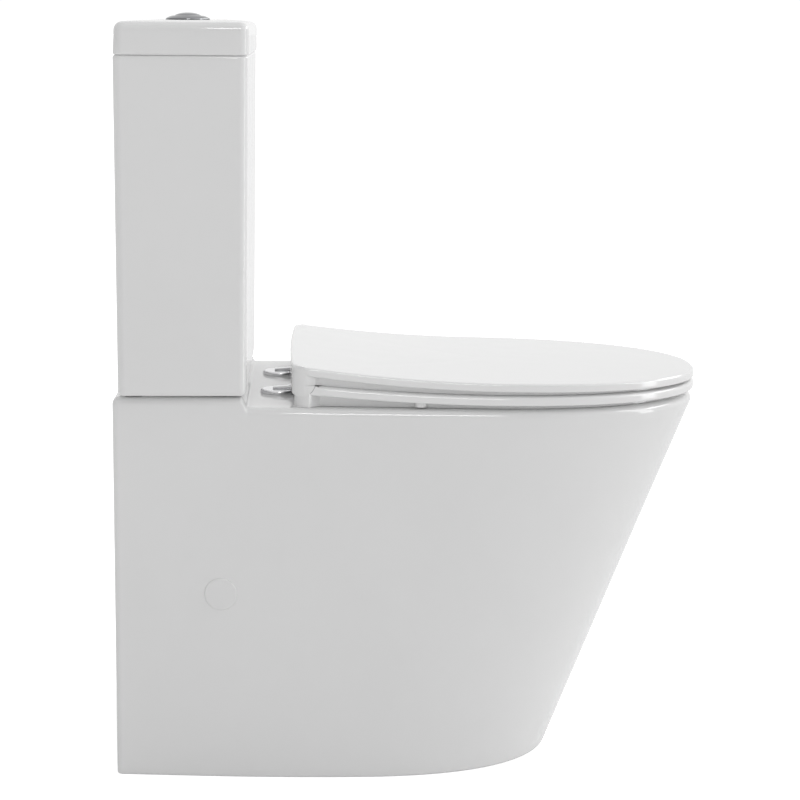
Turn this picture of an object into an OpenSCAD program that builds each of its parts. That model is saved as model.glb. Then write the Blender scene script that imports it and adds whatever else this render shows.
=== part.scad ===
// Close coupled toilet: back-to-wall pan, cistern, seat and flushing gear.
// Millimetres. +Z is up, the front faces -Y, the wall side is +Y.
// Lengths named s are distances out from the wall face, towards the front.

/* [Overall] */
// Length from the wall face to the tip of the seat
overall_l = 676; // [670:1:682]
// Height of the cistern lid's top above the floor
lid_top_z = 850; // [846:1:870]

/* [Pan] */
// Height of the seat deck behind the seat
deck_z = 426.5; // [425:0.5:428]
// Height of the ledge that carries the cistern
ledge_z = 438; // [437.5:0.5:439]
// Half the width of the skirt at the floor, where it is widest
base_half_w = 184.5; // [180:0.5:188]
// Half the width at the rim, where it is widest
rim_half_w = 181; // [178:0.5:184]
// Half the width at the wall
rear_half_w = 170; // [167:0.5:173]
// Distance from the wall to the front of the skirt at the floor
base_tip_s = 505; // [495:1:515]
// Radius of the rounded edge of the rim and deck
rim_r = 9; // [7:0.5:10]
// Thickness of the skirt
skirt_t = 10; // [9:0.5:11]
// Inner radius of the trapway
trap_r = 40; // [38:0.5:41]
// Height of the outlet's centre above the floor
outlet_z = 180; // [178:1:182]
// Outer radius of the outlet spigot
spigot_r = 51; // [51:0.5:52]
// Distance of the spigot's end from the wall face
spigot_end_s = 20; // [15:1:30]

/* [Cistern] */
// Half the cistern's width at its top
cist_half_w = 178; // [176:0.5:180]
// Distance of the cistern's back from the wall face
cist_back_s = 6.3; // [5:0.1:8]
// Distance of the cistern's front from the wall face, at the top
cist_front_s = 152.5; // [150:0.5:154]
// Thickness of the cistern's walls
cist_t = 10; // [9:0.5:11]
// Height of the cistern lid
cist_lid_h = 36; // [34:1:38]

/* [Seat] */
// Half the width of the seat, where it is widest
seat_half_w = 182; // [180:0.5:184]
// Height of the seat lid's side
lid_side_h = 9.6; // [9:0.1:10]
// Height of the seat ring's side
ring_side_h = 10.3; // [9.5:0.1:10.5]
// Half the distance between the two hinge posts
hinge_half = 66.6; // [66:0.1:68]
// Radius of the hinge pins
hinge_pin_r = 3; // [2.5:0.1:3.2]

/* [Hidden] */

china = [0.96, 0.96, 0.95];
moulded = [0.97, 0.97, 0.97];
chromed = [0.80, 0.81, 0.83];
rubbery = [0.16, 0.16, 0.17];
$fn = 48;

function Y(s) = overall_l / 2 - s;
function mix(a, b, t) = a + (b - a) * t;
function clamp(t) = min(1, max(0, t));
function smooth(t) = let (x = clamp(t)) x * x * (3 - 2 * x);
function fold(i, n) = i <= n / 2 ? i : n - i;
function side(i, n) = i <= n / 2 ? 1 : -1;
// One closed ring from half an outline given as [s, x, z] for 0..n/2
function ring_of(half, n) = [for (i = [0 : n - 1]) let (p = half[fold(i, n)])
    [side(i, n) * p[1], Y(p[0]), p[2]]];
// Triangles between ring a and ring b of n points each, by their first indices
function band(a, b, n) = [for (i = [0 : n - 1]) let (j = (i + 1) % n)
    each [[a + i, a + j, b + j], [a + i, b + j, b + i]]];
// Triangles between a ring of 2n points at a and a ring of n points at b
function band_down(a, b, n) = [for (j = [0 : n - 1]) let (k = (j + 1) % n)
    each [[a + 2 * j, a + 2 * j + 1, b + j], [a + 2 * j + 1, a + (2 * j + 2) % (2 * n), b + k],
        [a + 2 * j + 1, b + k, b + j]]];
function band_up(a, b, n) = [for (f = band_down(b, a, n)) [f[0], f[2], f[1]]];
// A cap of strips that run straight across, on the ring of n points at a
function cap(a, n, flip = false) = [for (i = [0 : n / 2 - 1])
    each (let (p = a + i, q = a + i + 1, r = a + (n - i - 1) % n, t = a + (n - i) % n,
        f = i == 0 ? [[p, q, r]] : i == n / 2 - 1 ? [[p, q, t]] : [[p, q, r], [p, r, t]])
        flip ? f : [for (g = f) [g[0], g[2], g[1]]])];

module at(s, x = 0, z = 0) { translate([x, Y(s), z]) children(); }
module pair(s, x, z = 0) { for (k = [-1, 1]) translate([k * x, Y(s), z]) children(); }
module tube(r, inner, h) { difference() { cylinder(r = r, h = h); translate([0, 0, -1]) cylinder(r = inner, h = h + 2); } }
module across(w) { rotate([90, 0, 90]) translate([0, 0, -w / 2]) linear_extrude(w) children(); }
function ys(points) = [for (p = points) [Y(p[0]), p[1]]];
module wing_nut(r, bore, h) {
    difference() {
        union() {
            cylinder(r = r, h = h);
            for (k = [0, 180]) rotate(k) translate([r - 2, -1.6, 0]) cube([r * 0.9, 3.2, h * 1.5]);
        }
        translate([0, 0, -1]) cylinder(r = bore, h = 2 * h);
    }
}

// ---- pan ----
deck_fall = 0.007;
step_front = 151;
step_back = 143;
function deck_at(s) = mix(deck_z - deck_fall * (s - 180), ledge_z, smooth((step_front - s) / (step_front - step_back)));
top_z = deck_z - rim_r - 1;
front_l = 247;
function up_t(z) = clamp(z / 418);
function tip_s(z) = base_tip_s + (674 - base_tip_s) * up_t(z);
function half_w(z) = mix(base_half_w, rim_half_w, up_t(z));
function wall_w(s, z) = let (rw = rear_half_w - 2 * up_t(z), c = tip_s(z) - front_l)
    rw + (half_w(z) - rw) * sin(90 * clamp((s - 12) / (c - 12)));
// Half the skirt's outline at height z, inset by d: [s, x]
rear_n = 3;
corner_n = 3;
side_s = [60, 110, 143, 145.7, 148.3, 151];
mid_n = 3;
front_n = 8;
HP = rear_n + corner_n + len(side_s) + mid_n + 1 + front_n;
NP = 2 * HP;
function outline(z, d) = let (c = tip_s(z) - front_l, w0 = wall_w(12, z), r = max(2, 7 - d), n = mix(2.5, 2.2, up_t(z)))
    concat(
        [for (i = [0 : rear_n]) [d, (w0 - d - r) * i / rear_n]],
        [for (i = [1 : corner_n]) let (a = 90 * i / corner_n) [d + r - r * cos(a), w0 - d - r + r * sin(a)]],
        [for (s = side_s) [s, wall_w(s, z) - d]],
        [for (i = [1 : mid_n]) let (s = mix(step_front, c, i / (mid_n + 1))) [s, wall_w(s, z) - d]],
        [for (i = [0 : front_n]) let (a = 90 * i / front_n)
            [c + (front_l - 1.07 * d) * pow(sin(a), 2 / n), (half_w(z) - d) * pow(cos(a), 2 / n)]]);
function wall_ring(z, d) = ring_of([for (p = outline(z, d)) [p[0], p[1], z]], NP);
function edge_ring(a) = ring_of([for (p = outline(top_z, rim_r * (1 - cos(a)))) [p[0], p[1], deck_at(p[0]) - rim_r * (1 - sin(a))]], NP);
// Directions round the bowl, from the back (0) to the front (180)
function bowl_a(h) = h <= 3 ? 6 * h : h <= 6 ? 18 + 2 * (h - 3) : h <= 12 ? 24 + 3 * (h - 6)
    : h <= 16 ? 42 + 11.5 * (h - 12) : 88 + 11.5 * (h - 16);
function egg(a, back, front, b, n) = let (c = cos(a), s = sin(a))
    [c > 0 ? -back * pow(c, 2 / n) : front * pow(-c, 2 / n), b * pow(abs(s), 2 / n)];
bowl_c = 440;
// Bowl sections: height, back, front, half width, how evenly its points are spread
bowl_rows = [[385, 280, 615, 127, 0.1], [340, 294, 596, 117, 0.3], [290, 309, 560, 101, 0.55], [245, 323, 525, 84, 0.75], [210, 334, 498, 70, 0.9]];
function bowl_half(z, back, front, b, n, even) = [for (h = [0 : HP])
    let (a = mix(bowl_a(h), 180 * h / HP, even), c = mix(bowl_c, (back + front) / 2, even), e = egg(a, c - back, front - c, b, n)) [c + e[0], e[1], z]];
function bowl_ring(z, back, front, b, n, even) = ring_of(bowl_half(z, back, front, b, n, even), NP);
mouth = [262, 632, 141];
function mouth_half(d) = bowl_half(0, mouth[0] + d, mouth[1] - d, mouth[2] - d, 2.3, 0);
function mouth_ring(a) = let (r = 10) ring_of([for (p = mouth_half(r * sin(a))) [p[0], p[1], deck_at(p[0]) - r * (1 - cos(a))]], NP);
function deck_ring(k) = let (lines = [step_back, 145.7, 148.3, step_front], o = outline(top_z, rim_r), m = mouth_half(0))
    ring_of([for (h = [0 : HP]) let (t = max(0.012 * (k + 1), o[h][0] < lines[k] ? (lines[k] - o[h][0]) / (m[h][0] - o[h][0]) : 0),
        s = mix(o[h][0], m[h][0], t)) [s, mix(o[h][1], m[h][1], t), deck_at(s)]], NP);
// Trapway: turns about three pivots. Each ring is at angle t, from its pivot outwards
rise_a = 58;
fall_a = 50;
lip = [330, 180];
lip_r = 13;
weir_r = 14;
turn_r = 12;
china_t = 9;
function dir(t) = [cos(t), sin(t)];
climb_0 = lip + (lip_r + trap_r) * dir(-90 - rise_a);
weir_z = 217;
weir_1z = weir_z - weir_r - (weir_r + trap_r) * sin(-90 - rise_a);
climb_l = (weir_1z - climb_0[1]) / sin(rise_a);
weir_c = climb_0 + climb_l * [-cos(rise_a), sin(rise_a)] + (weir_r + trap_r) * dir(-90 - rise_a);
drop_0 = weir_c - (weir_r + trap_r) * dir(-90 + fall_a);
turn_R = turn_r + trap_r;
drop_l = (drop_0[1] - outlet_z - turn_R * (1 - cos(fall_a))) / sin(fall_a);
turn_c = drop_0 + drop_l * [-cos(fall_a), -sin(fall_a)] - turn_R * dir(-90 + fall_a);
trap_end = turn_c[0];
// A trapway section: middle [s, z], direction of its plane, half length, half width
function trap_half(c, t, a, b, n2) = [for (h = [0 : n2]) let (e = egg(180 * h / n2, a, a, b, 2))
    [c[0] + e[0] * cos(t), e[1], c[1] + e[0] * sin(t)]];
// Angle, length along the plane, half width: from bowl to trapway
lip_fan = [[0, 130, 58], [-20, 118, 53], [-45, 104, 48], [-70, 92, 44], [-95, 84, 41], [-120, 2 * trap_r, trap_r], [-90 - rise_a, 2 * trap_r, trap_r]];
function trap_rings(g, n) = concat(
    [for (f = lip_fan) ring_of(trap_half(lip + (lip_r + f[1] / 2) * dir(f[0]), f[0], f[1] / 2 + g, f[2] + g, n / 2), n)],
    [for (i = [0 : 5]) let (t = mix(-90 - rise_a, -90 + fall_a, i / 5)) ring_of(trap_half(weir_c - (weir_r + trap_r) * dir(t), t, trap_r + g, trap_r + g, n / 2), n)],
    [for (i = [0 : 3]) let (t = mix(-90 + fall_a, -90, i / 3)) ring_of(trap_half(turn_c + turn_R * dir(t), t, trap_r + g, trap_r + g, n / 2), n)],
    [ring_of(trap_half([trap_end - 6, outlet_z], -90, trap_r + g, trap_r + g, n / 2), n)]);
function flip(v) = [for (i = [len(v) - 1 : -1 : 0]) v[i]];
function lip_ring(g) = ring_of([for (h = [0 : HP]) let (f = lip_fan[0], c = lip + (lip_r + f[1] / 2) * dir(0), e = egg(180 * h / HP, f[1] / 2 + g, f[1] / 2 + g, f[2] + g, 2))
    [c[0] + e[0], e[1], lip[1]]], NP);
under_z = 414.5;
function shift_rows(g) = [for (r = bowl_rows) bowl_ring(r[0], r[1] - g, r[2] + g, r[3] + g, 2.3 - 0.3 * r[4], r[4])];
function tail(v, k) = [for (i = [k : len(v) - 1]) v[i]];
pan_a = concat(
    [wall_ring(0, 2.2), wall_ring(2.2, 0), wall_ring(140, 0), wall_ring(280, 0)],
    [for (a = [0, 30, 60, 90]) edge_ring(a)],
    [for (k = [0 : 3]) deck_ring(k)],
    [mouth_ring(0), mouth_ring(45), mouth_ring(90)],
    shift_rows(0), [lip_ring(0)]);
pan_b = concat(tail(trap_rings(0, HP), 1), flip(tail(trap_rings(china_t, HP), 1)));
pan_c = concat([lip_ring(china_t)], flip(shift_rows(china_t)),
    [bowl_ring(under_z, mouth[0] + 2, mouth[1] - 2, mouth[2] - 2, 2.3, 0), wall_ring(under_z, skirt_t), wall_ring(250, skirt_t), wall_ring(120, skirt_t), wall_ring(0, skirt_t)]);

module pan_shell() {
    la = len(pan_a); lb = len(pan_b); lc = len(pan_c);
    ob = la * NP; oc = ob + lb * HP;
    polyhedron(points = [for (r = concat(pan_a, pan_b, pan_c)) each r],
        faces = concat(
            [for (k = [0 : la - 2]) each band(k * NP, (k + 1) * NP, NP)],
            band_down((la - 1) * NP, ob, HP),
            [for (k = [0 : lb - 2]) each band(ob + k * HP, ob + (k + 1) * HP, HP)],
            band_up(ob + (lb - 1) * HP, oc, HP),
            [for (k = [0 : lc - 2]) each band(oc + k * NP, oc + (k + 1) * NP, NP)],
            band(oc + (lc - 1) * NP, 0, NP)), convexity = 12);
}
// The bowl's hollow, a little larger, that trims the flush channel's end
module bowl_core(g) {
    rows = concat([for (k = [2 : -1 : 0]) shift_rows(g)[k]], [bowl_ring(deck_z + 5, mouth[0] + 10 - g, mouth[1] - 10 + g, mouth[2] - 10 + g, 2.3, 0)]);
    cup(rows, NP, true);
}
inlet_s = 80;
bolt_half = 82;
fill_x = 130;
fill_s = 66;
hinge_s = 183.8;
cap_s = 120;
cap_z = 214;
module box(s0, s1, x, z0, z1) { translate([-x, Y(s1), z0]) cube([2 * x, s1 - s0, z1 - z0]); }
module casting() {
    difference() {
        union() {
            pan_shell();
            box(26, 134, 60, 361, under_z + 2);
            difference() {
                box(130, 300, 46, 364, under_z + 2);
                bowl_core(2);
            }
            at(trap_end - 1, 0, outlet_z) rotate([-90, 0, 0]) cylinder(r = spigot_r, h = trap_end - 1 - spigot_end_s);
        }
        at(trap_end - 3, 0, outlet_z) rotate([-90, 0, 0]) cylinder(r = 43, h = trap_end);
        at(trap_end + 5, 0, outlet_z) rotate([-90, 0, 0]) cylinder(r = trap_r - 1, h = trap_end);
        at(inlet_s, 0, ledge_z - 13) cylinder(r = 56, h = 30);
        at(inlet_s, 0, 375) cylinder(r = 35, h = 60);
        box(36, 124, 50, 371, under_z - 8);
        box(120, 300, 36, 373, under_z - 9);
        pair(inlet_s, bolt_half, 400) cylinder(r = 7.5, h = 50);
        pair(hinge_s, hinge_half, 400) cylinder(r = 7, h = 50);
        at(fill_s, fill_x, 400) cylinder(r = 24, h = 50);
        for (k = [-1, 1]) cap_at(k) cylinder(r = 15.5, h = 50, center = true);
        box(-1, 14, 128, -1, 330);
    }
}
// The pan is one china casting, stored as seven pieces that meet face to face: the deck and rim,
// the skirt, the bowl, the trapway's throat, rise and fall, and the flush channel
cut_z = 406;
module inner_zone() { cup([for (z = [-5, 0, 120, 250, cut_z]) wall_ring(z, skirt_t + 1.5)], NP, true); }
module trap_zone() {
    across(330) polygon(ys([[-5, -5], [540, -5], [540, lip[1]], [lip[0], lip[1]], [285, 280], [262, 345], [262, 356], [-5, 356]]));
}
module pan_deck() color(china) intersection() { casting(); box(-5, 700, 200, cut_z, 460); }
module pan_skirt() color(china) difference() { casting(); box(-5, 700, 200, cut_z, 460); inner_zone(); }
// The throat ends just above the turn's last section, square to the rise
function throat_z(s) = lip[1] + 2.36 + (s - lip[0]) / tan(rise_a);
throat_s = lip[0] - 2.36 / (100 / 45 + 1 / tan(rise_a));
module trap_part(points) { intersection() { casting(); inner_zone(); across(330) polygon(ys(points)); } }
module pan_trap_throat() color(china) trap_part([lip, [540, lip[1]], [540, -8], [30, throat_z(30)], [throat_s, throat_z(throat_s)]]);
module pan_trap_rise() color(china) trap_part([[throat_s, throat_z(throat_s)], [285, 280], [262, 345], [262, 356], [weir_c[0], 356], [weir_c[0], throat_z(weir_c[0])]]);
module pan_trap_fall() color(china) trap_part([[weir_c[0], throat_z(weir_c[0])], [weir_c[0], 356], [-5, 356], [-5, -8], [30, throat_z(30)]]);
module pan_flush_channel() color(china) intersection() { casting(); box(-5, 262, 165, 356, cut_z); inner_zone(); }
module pan_bowl() color(china) difference() { intersection() { casting(); inner_zone(); } trap_zone(); box(-5, 262, 165, 356, cut_z + 10); }
// Turns +z to the wall's own direction at a side cap
module cap_at(k) {
    ds = wall_w(cap_s + 8, cap_z) - wall_w(cap_s - 8, cap_z);
    dz = wall_w(cap_s, cap_z + 8) - wall_w(cap_s, cap_z - 8);
    translate([k * wall_w(cap_s, cap_z), Y(cap_s), cap_z]) rotate([0, k * (90 + atan(dz / 16)), k * atan(ds / 16)]) children();
}
module side_caps() color(china) for (k = [-1, 1]) cap_at(k) {
    translate([0, 0, 0.3]) cylinder(r1 = 18.5, r2 = 17.6, h = 1.5);
    translate([0, 0, -15]) tube(15, 12.5, 15.3);
    translate([0, 0, -0.2]) cylinder(r = 15, h = 0.5);
}

// ---- cistern ----
cist_z = ledge_z + 2;
body_top = lid_top_z - cist_lid_h;
floor_z = cist_z + cist_t;
// Rounded rectangle outline, inset by d, with corner radius r: [s, x], from the middle of the back
function slab_half(s0, s1, w, r) = concat([[s0, 0]],
    [for (a = [0, 30, 60, 90]) [s0 + r - r * cos(a), w - r + r * sin(a)]],
    [for (a = [0, 30, 60, 90]) [s1 - r + r * sin(a), w - r + r * cos(a)]], [[s1, 0]]);
NS = 18;
function slab_ring(z, s0, s1, w, r) = ring_of([for (p = slab_half(s0, s1, w, r)) [p[0], p[1], z]], NS);
function body_ring(z, d) = let (t = clamp((z - cist_z) / (body_top - cist_z)))
    slab_ring(z, cist_back_s + 0.7 * (1 - t) + d, mix(cist_front_s - 3, cist_front_s, t) - d, mix(cist_half_w - 1, cist_half_w, t) - d, max(3, 9 - d / 2));
// A closed solid through a stack of rings, with level ends or ends of strips
module cup(rings, n, level = false) {
    m = (len(rings) - 1) * n;
    polyhedron(points = [for (r = rings) each r], faces = concat(level ? [[for (i = [0 : n - 1]) (n - i) % n]] : cap(0, n),
        [for (k = [0 : len(rings) - 2]) each band(k * n, (k + 1) * n, n)], level ? [[for (i = [0 : n - 1]) m + i]] : cap(m, n, true)), convexity = 6);
}
valve_s = inlet_s;
wall_hole_half = 85;
wall_hole_z = 730;
module cistern() color(china) difference() {
    cup([body_ring(cist_z, 4), body_ring(cist_z + 4, 0), body_ring(body_top - 1, 0), body_ring(body_top, 1),
        body_ring(body_top, cist_t - 1), body_ring(body_top - 1, cist_t), body_ring(floor_z + 6, cist_t), body_ring(floor_z, cist_t + 6)], NS, true);
    at(valve_s, 0, cist_z - 5) cylinder(r = 31.5, h = 40);
    pair(inlet_s, bolt_half, cist_z - 5) cylinder(r = 6, h = 40);
    at(fill_s, fill_x, cist_z - 5) cylinder(r = 11.5, h = 40);
    pair(0, wall_hole_half, wall_hole_z) rotate([90, 0, 0]) cylinder(r = 4.5, h = 40, center = true);
}
lid_z = body_top;
function lid_ring(z, d) = slab_ring(z, cist_back_s - 0.8 + d, cist_front_s + 1.2 - d, cist_half_w + 1.2 - d, max(2.5, 10 - d));
button_s = 78.5;
// The top of the lid is slightly crowned
bezel_z = lid_top_z + 1.5;
module cistern_lid() color(china) difference() {
    union() {
        cup([lid_ring(lid_z, 2.2), lid_ring(lid_z + 0.7, 0.7), lid_ring(lid_z + 2.2, 0), lid_ring(lid_top_z - 9, 0),
            lid_ring(lid_top_z - 4.7, 1.2), lid_ring(lid_top_z - 1.4, 4.5), lid_ring(lid_top_z - 0.1, 10),
            lid_ring(lid_top_z + 1.1, 26), lid_ring(bezel_z, 44)], NS, true);
        cup([slab_ring(lid_z - 8, cist_back_s + cist_t + 2, cist_front_s - cist_t - 2, cist_half_w - cist_t - 2, 6),
            slab_ring(lid_z + 2, cist_back_s + cist_t + 2, cist_front_s - cist_t - 2, cist_half_w - cist_t - 2, 6)], NS, true);
    }
    cup([slab_ring(lid_z - 20, 24, 135, cist_half_w - cist_t - 10, 6), slab_ring(lid_top_z - 12, 24, 135, cist_half_w - cist_t - 10, 6)], NS, true);
    at(button_s, 0, lid_z) cylinder(r = 19.8, h = 60);
}
// ---- cistern to pan ----
nut_z = cist_z - 12;
module coupling_gasket() color(rubbery) at(inlet_s, 0, ledge_z - 13) tube(55, 44.5, cist_z - ledge_z + 13);
module coupling_bolts() color([0.75, 0.73, 0.68]) pair(inlet_s, bolt_half) {
    translate([0, 0, floor_z + 4.5]) cylinder(r = 11, h = 3);
    translate([0, 0, floor_z + 7.5]) cylinder(r = 6.5, h = 4, $fn = 6);
    translate([0, 0, 392]) cylinder(r = 4, h = floor_z + 5 - 392);
}
module coupling_rubber_washers() color(rubbery) pair(inlet_s, bolt_half, floor_z) tube(13, 4.2, 4.5);
module coupling_steel_washers() color([0.75, 0.73, 0.68]) pair(inlet_s, bolt_half, under_z - 1.6) tube(12.5, 4.3, 1.6);
module coupling_wing_nuts() color([0.80, 0.80, 0.78]) pair(inlet_s, bolt_half, under_z - 1.6) mirror([0, 0, 1]) wing_nut(9, 4.05, 9);
module cistern_pads() color(rubbery) for (x = [-150, 150]) for (s = [24, 118]) if (s > 100 || x < 0)
    at(s, x, ledge_z) translate([-13, -9, 0]) cube([26, 18, cist_z - ledge_z]);

// ---- seat ----
axis_s = 209;
axis_z = deck_z + 29.5;
seat_tip_s = overall_l;
seat_c = 430;
function seat_rise(s) = let (t = max(0, (seat_c - s) / 215)) t * t;
function ring_low(s) = deck_z + 4.1 - 0.010 * (s - seat_c) + 9 * seat_rise(s);
function lid_low(s) = deck_z + 19.7 - 0.020 * (s - seat_c) + 12.2 * seat_rise(s);
function seat_w(s) = seat_half_w - 9.3 * pow(max(0, (seat_c - s) / 215), 1.2);
NR = 44;
// How far the seat's back edge bows backwards in its middle
seat_bow = 3;
// Half of the seat's outline from its back at s0, corner radius r, inset by d: [s, x]
function seat_half(s0, r, d) = let (w = seat_w(s0 + r) - d, q = max(3, r - d), L = seat_tip_s - seat_c - d)
    concat([for (i = [0 : 4]) [s0 + d + seat_bow * i * i / 16, (w - q) * i / 4]],
        [for (a = [22.5, 45, 67.5, 90]) [s0 + seat_bow + d + q - q * cos(a), w - q + q * sin(a)]],
        [for (i = [1 : 3]) let (s = mix(s0 + seat_bow + d + q, seat_c, i / 4)) [s, seat_w(s) - d]],
        [for (i = [0 : 10]) let (a = 9 * i) [seat_c + L * pow(sin(a), 2 / 2.2), (seat_half_w - d) * pow(cos(a), 2 / 2.2)]]);
hole_c = 455;
hole = [318, 606, 108];
function hole_half(d) = [for (h = [0 : NR / 2]) let (a = h <= 4 ? 8 * h : h <= 8 ? 32 + 4 * (h - 4) : h <= 12 ? 48 + 9 * (h - 8) : 84 + 9.6 * (h - 12),
    e = egg(a, hole_c - hole[0] + d, hole[1] - hole_c + d, hole[2] + d, 2.4)) [hole_c + e[0], e[1]]];
ring_back = 224.6;
ring_corner = 4;
function seat_ring_at(half, up) = ring_of([for (p = half) [p[0], p[1], ring_low(p[0]) + up]], NR);
function between(a, b, t) = [for (i = [0 : len(a) - 1]) [mix(a[i][0], b[i][0], t), mix(a[i][1], b[i][1], t)]];
ring_out = seat_half(ring_back, ring_corner, 0);
ring_loop = let (h = ring_side_h) [seat_ring_at(seat_half(ring_back, ring_corner, 2), 0), seat_ring_at(ring_out, 2), seat_ring_at(ring_out, h - 2.5), seat_ring_at(seat_half(ring_back, ring_corner, 0.8), h - 0.8),
    seat_ring_at(seat_half(ring_back, ring_corner, 3), h), seat_ring_at(between(seat_half(ring_back, ring_corner, 3), hole_half(8), 0.5), h + 2.6), seat_ring_at(hole_half(8), h + 1.2),
    seat_ring_at(hole_half(2.5), h - 1.5), seat_ring_at(hole_half(0), h - 5.5), seat_ring_at(hole_half(0), 3), seat_ring_at(hole_half(2.5), 0)];
module loop(rings, n) {
    polyhedron(points = [for (r = rings) each r], faces = concat([for (k = [0 : len(rings) - 2]) each band(k * n, (k + 1) * n, n)], band((len(rings) - 1) * n, 0, n)), convexity = 8);
}
// Where the buffers plug into the ring and the lid: [s, x]
ring_buffer_at = [[345, 146], [570, 118]];
lid_buffer_at = [[330, 150], [560, 128]];
knuckle_r = 9;
post_half_w = 7;
ring_knuckle = [7.6, 17];
lid_knuckle = [17.6, 27];
module barrel(x0, x1, r) { translate([x0, Y(axis_s), axis_z]) rotate([0, 90, 0]) cylinder(r = r, h = x1 - x0); }
module knuckles(span) {
    for (k = [-1, 1]) for (q = [-1, 1]) { x = k * hinge_half + q * (span[0] + span[1]) / 2; w = (span[1] - span[0]) / 2; translate([x, 0, 0]) children(); }
}
module ring_arm() { across(ring_knuckle[1] - ring_knuckle[0]) polygon(ys([[axis_s, axis_z - 9], [240, ring_low(240) + 2], [240, ring_low(240) + 9], [226, axis_z - 3], [axis_s + 5, axis_z + 7.3], [axis_s, axis_z + 7]])); }
// Where the lid's cheeks are, and how far they reach from the hinge axis
cheek_x = 146;
cheek_r = 17.2;
module seat_outline(back, corner, d = 0.15) {
    translate([0, 0, axis_z - 40]) linear_extrude(70) polygon([for (p = ring_of([for (q = seat_half(back, corner, d)) [q[0], q[1], 0]], NR)) [p[0], p[1]]]);
}
module both_ends() { for (k = [-1, 1]) translate([k * (cheek_x + 20), 0, 0]) across(40) children(); }
module seat_ring() color(moulded) difference() {
    union() {
        loop(ring_loop, NR);
        intersection() {
            both_ends() polygon(ys(concat([for (a = [-18, -29, -40, -51]) [axis_s + (cheek_r + 0.6) * cos(a), axis_z + (cheek_r + 0.6) * sin(a)]],
                [[axis_s + 11.6, ring_low(222) + 0.8], [axis_s + 13, ring_low(222) + 0.2], [236, ring_low(236) + 0.2], [236, ring_low(236) + 8], [axis_s + 17.6, axis_z - 5]])));
            seat_outline(lid_back, 22);
        }
        knuckles(ring_knuckle) { ring_arm(); barrel(-4.7, 4.7, knuckle_r); }
    }
    for (k = [-1, 1]) barrel(k * hinge_half - 40, k * hinge_half + 40, hinge_pin_r + 0.06);
    for (p = ring_buffer_at) for (k = [-1, 1]) at(p[0], k * p[1], ring_low(p[0]) - 3) cylinder(r = 8.03, h = 6);
}
module ring_buffers() color([0.90, 0.90, 0.90]) for (p = ring_buffer_at) for (k = [-1, 1]) {
    z0 = deck_at(p[0]) + 0.35;
    at(p[0], k * p[1], z0) cylinder(r = 8, h = ring_low(p[0]) + 2.95 - z0);
}
lid_back = 196.6;
lid_t = 5;
function lid_ring_at(half, up) = ring_of([for (p = half) [p[0], p[1], lid_low(p[0]) + up]], NR);
module seat_lid() color(moulded) difference() {
    union() {
        difference() {
            union() {
                cup([lid_ring_at(seat_half(lid_back, 22, 4.5), 0.6), lid_ring_at(seat_half(lid_back, 22, 2.2), 0), lid_ring_at(seat_half(lid_back, 22, 0), 2), lid_ring_at(seat_half(lid_back, 22, 0), lid_side_h - 2.5),
                    lid_ring_at(seat_half(lid_back, 22, 0.8), lid_side_h - 0.8), lid_ring_at(seat_half(lid_back, 22, 3), lid_side_h)], NR);
                intersection() {
                    union() {
                        across(2 * seat_w(215) - 8) polygon(ys(concat([[222, lid_low(222) + 5], [201, axis_z + 12.8]], [for (a = [135 : 12.7 : 262]) [axis_s + max(-12.4, 14.8 * cos(a)), axis_z + 14.8 * sin(a)]],
                            [for (a = [262 : -12.7 : 135]) [axis_s + max(-9.8, 12.2 * cos(a)), axis_z + 12.2 * sin(a)]], [[206, axis_z + 9.6], [222, axis_z + 9.6]])));
                        for (k = [-1, 1]) {
                            barrel(k > 0 ? cheek_x : -157, k > 0 ? 157 : -cheek_x, cheek_r);
                            difference() {
                                barrel(k > 0 ? 156 : -178, k > 0 ? 178 : -156, cheek_r);
                                translate([-200, Y(axis_s + 30), axis_z - 4.6]) cube([400, 25.5, 40]);
                            }
                        }
                    }
                    seat_outline(lid_back, 22);
                }
            }
            // Room for the posts and for the ring's knuckles
            for (k = [-1, 1]) translate([k * hinge_half, 0, 0]) {
                barrel(-17.4, 17.4, 9.8);
                translate([-17.4, Y(axis_s + 30), axis_z - 30]) cube([34.8, 50, 30]);
                translate([-7.5, Y(axis_s + 3), axis_z - 30]) cube([15, 30, 39.6]);
            }
        }
        knuckles(lid_knuckle) { barrel(-4.7, 4.7, knuckle_r); across(9.4) polygon(ys([[axis_s - 8.5, axis_z + 3], [axis_s + 8.5, axis_z + 3], [axis_s + 8.5, axis_z + 11], [axis_s - 8.5, axis_z + 11]])); }
    }
    for (k = [-1, 1]) barrel(k * hinge_half - 40, k * hinge_half + 40, hinge_pin_r + 0.06);
    lid_hollow();
    for (p = lid_buffer_at) for (k = [-1, 1]) at(p[0], k * p[1], lid_low(p[0]) - 3) cylinder(r = 6.03, h = lid_side_h - lid_t + 4.5);
}
// The shallow hollow under the lid, in front of the hinge
module lid_hollow() {
    r = [for (g = [[7, -3], [7, lid_side_h - lid_t]]) lid_ring_at(seat_half(axis_s + 11.5, 16, g[0]), g[1])];
    cup(r, NR);
}
module lid_buffers() color([0.90, 0.90, 0.90]) for (p = lid_buffer_at) for (k = [-1, 1]) {
    z0 = ring_low(p[0]) + ring_side_h + 2.9;
    at(p[0], k * p[1], z0) cylinder(r = 6, h = lid_low(p[0]) + lid_side_h - lid_t + 1.45 - z0);
}
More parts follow.
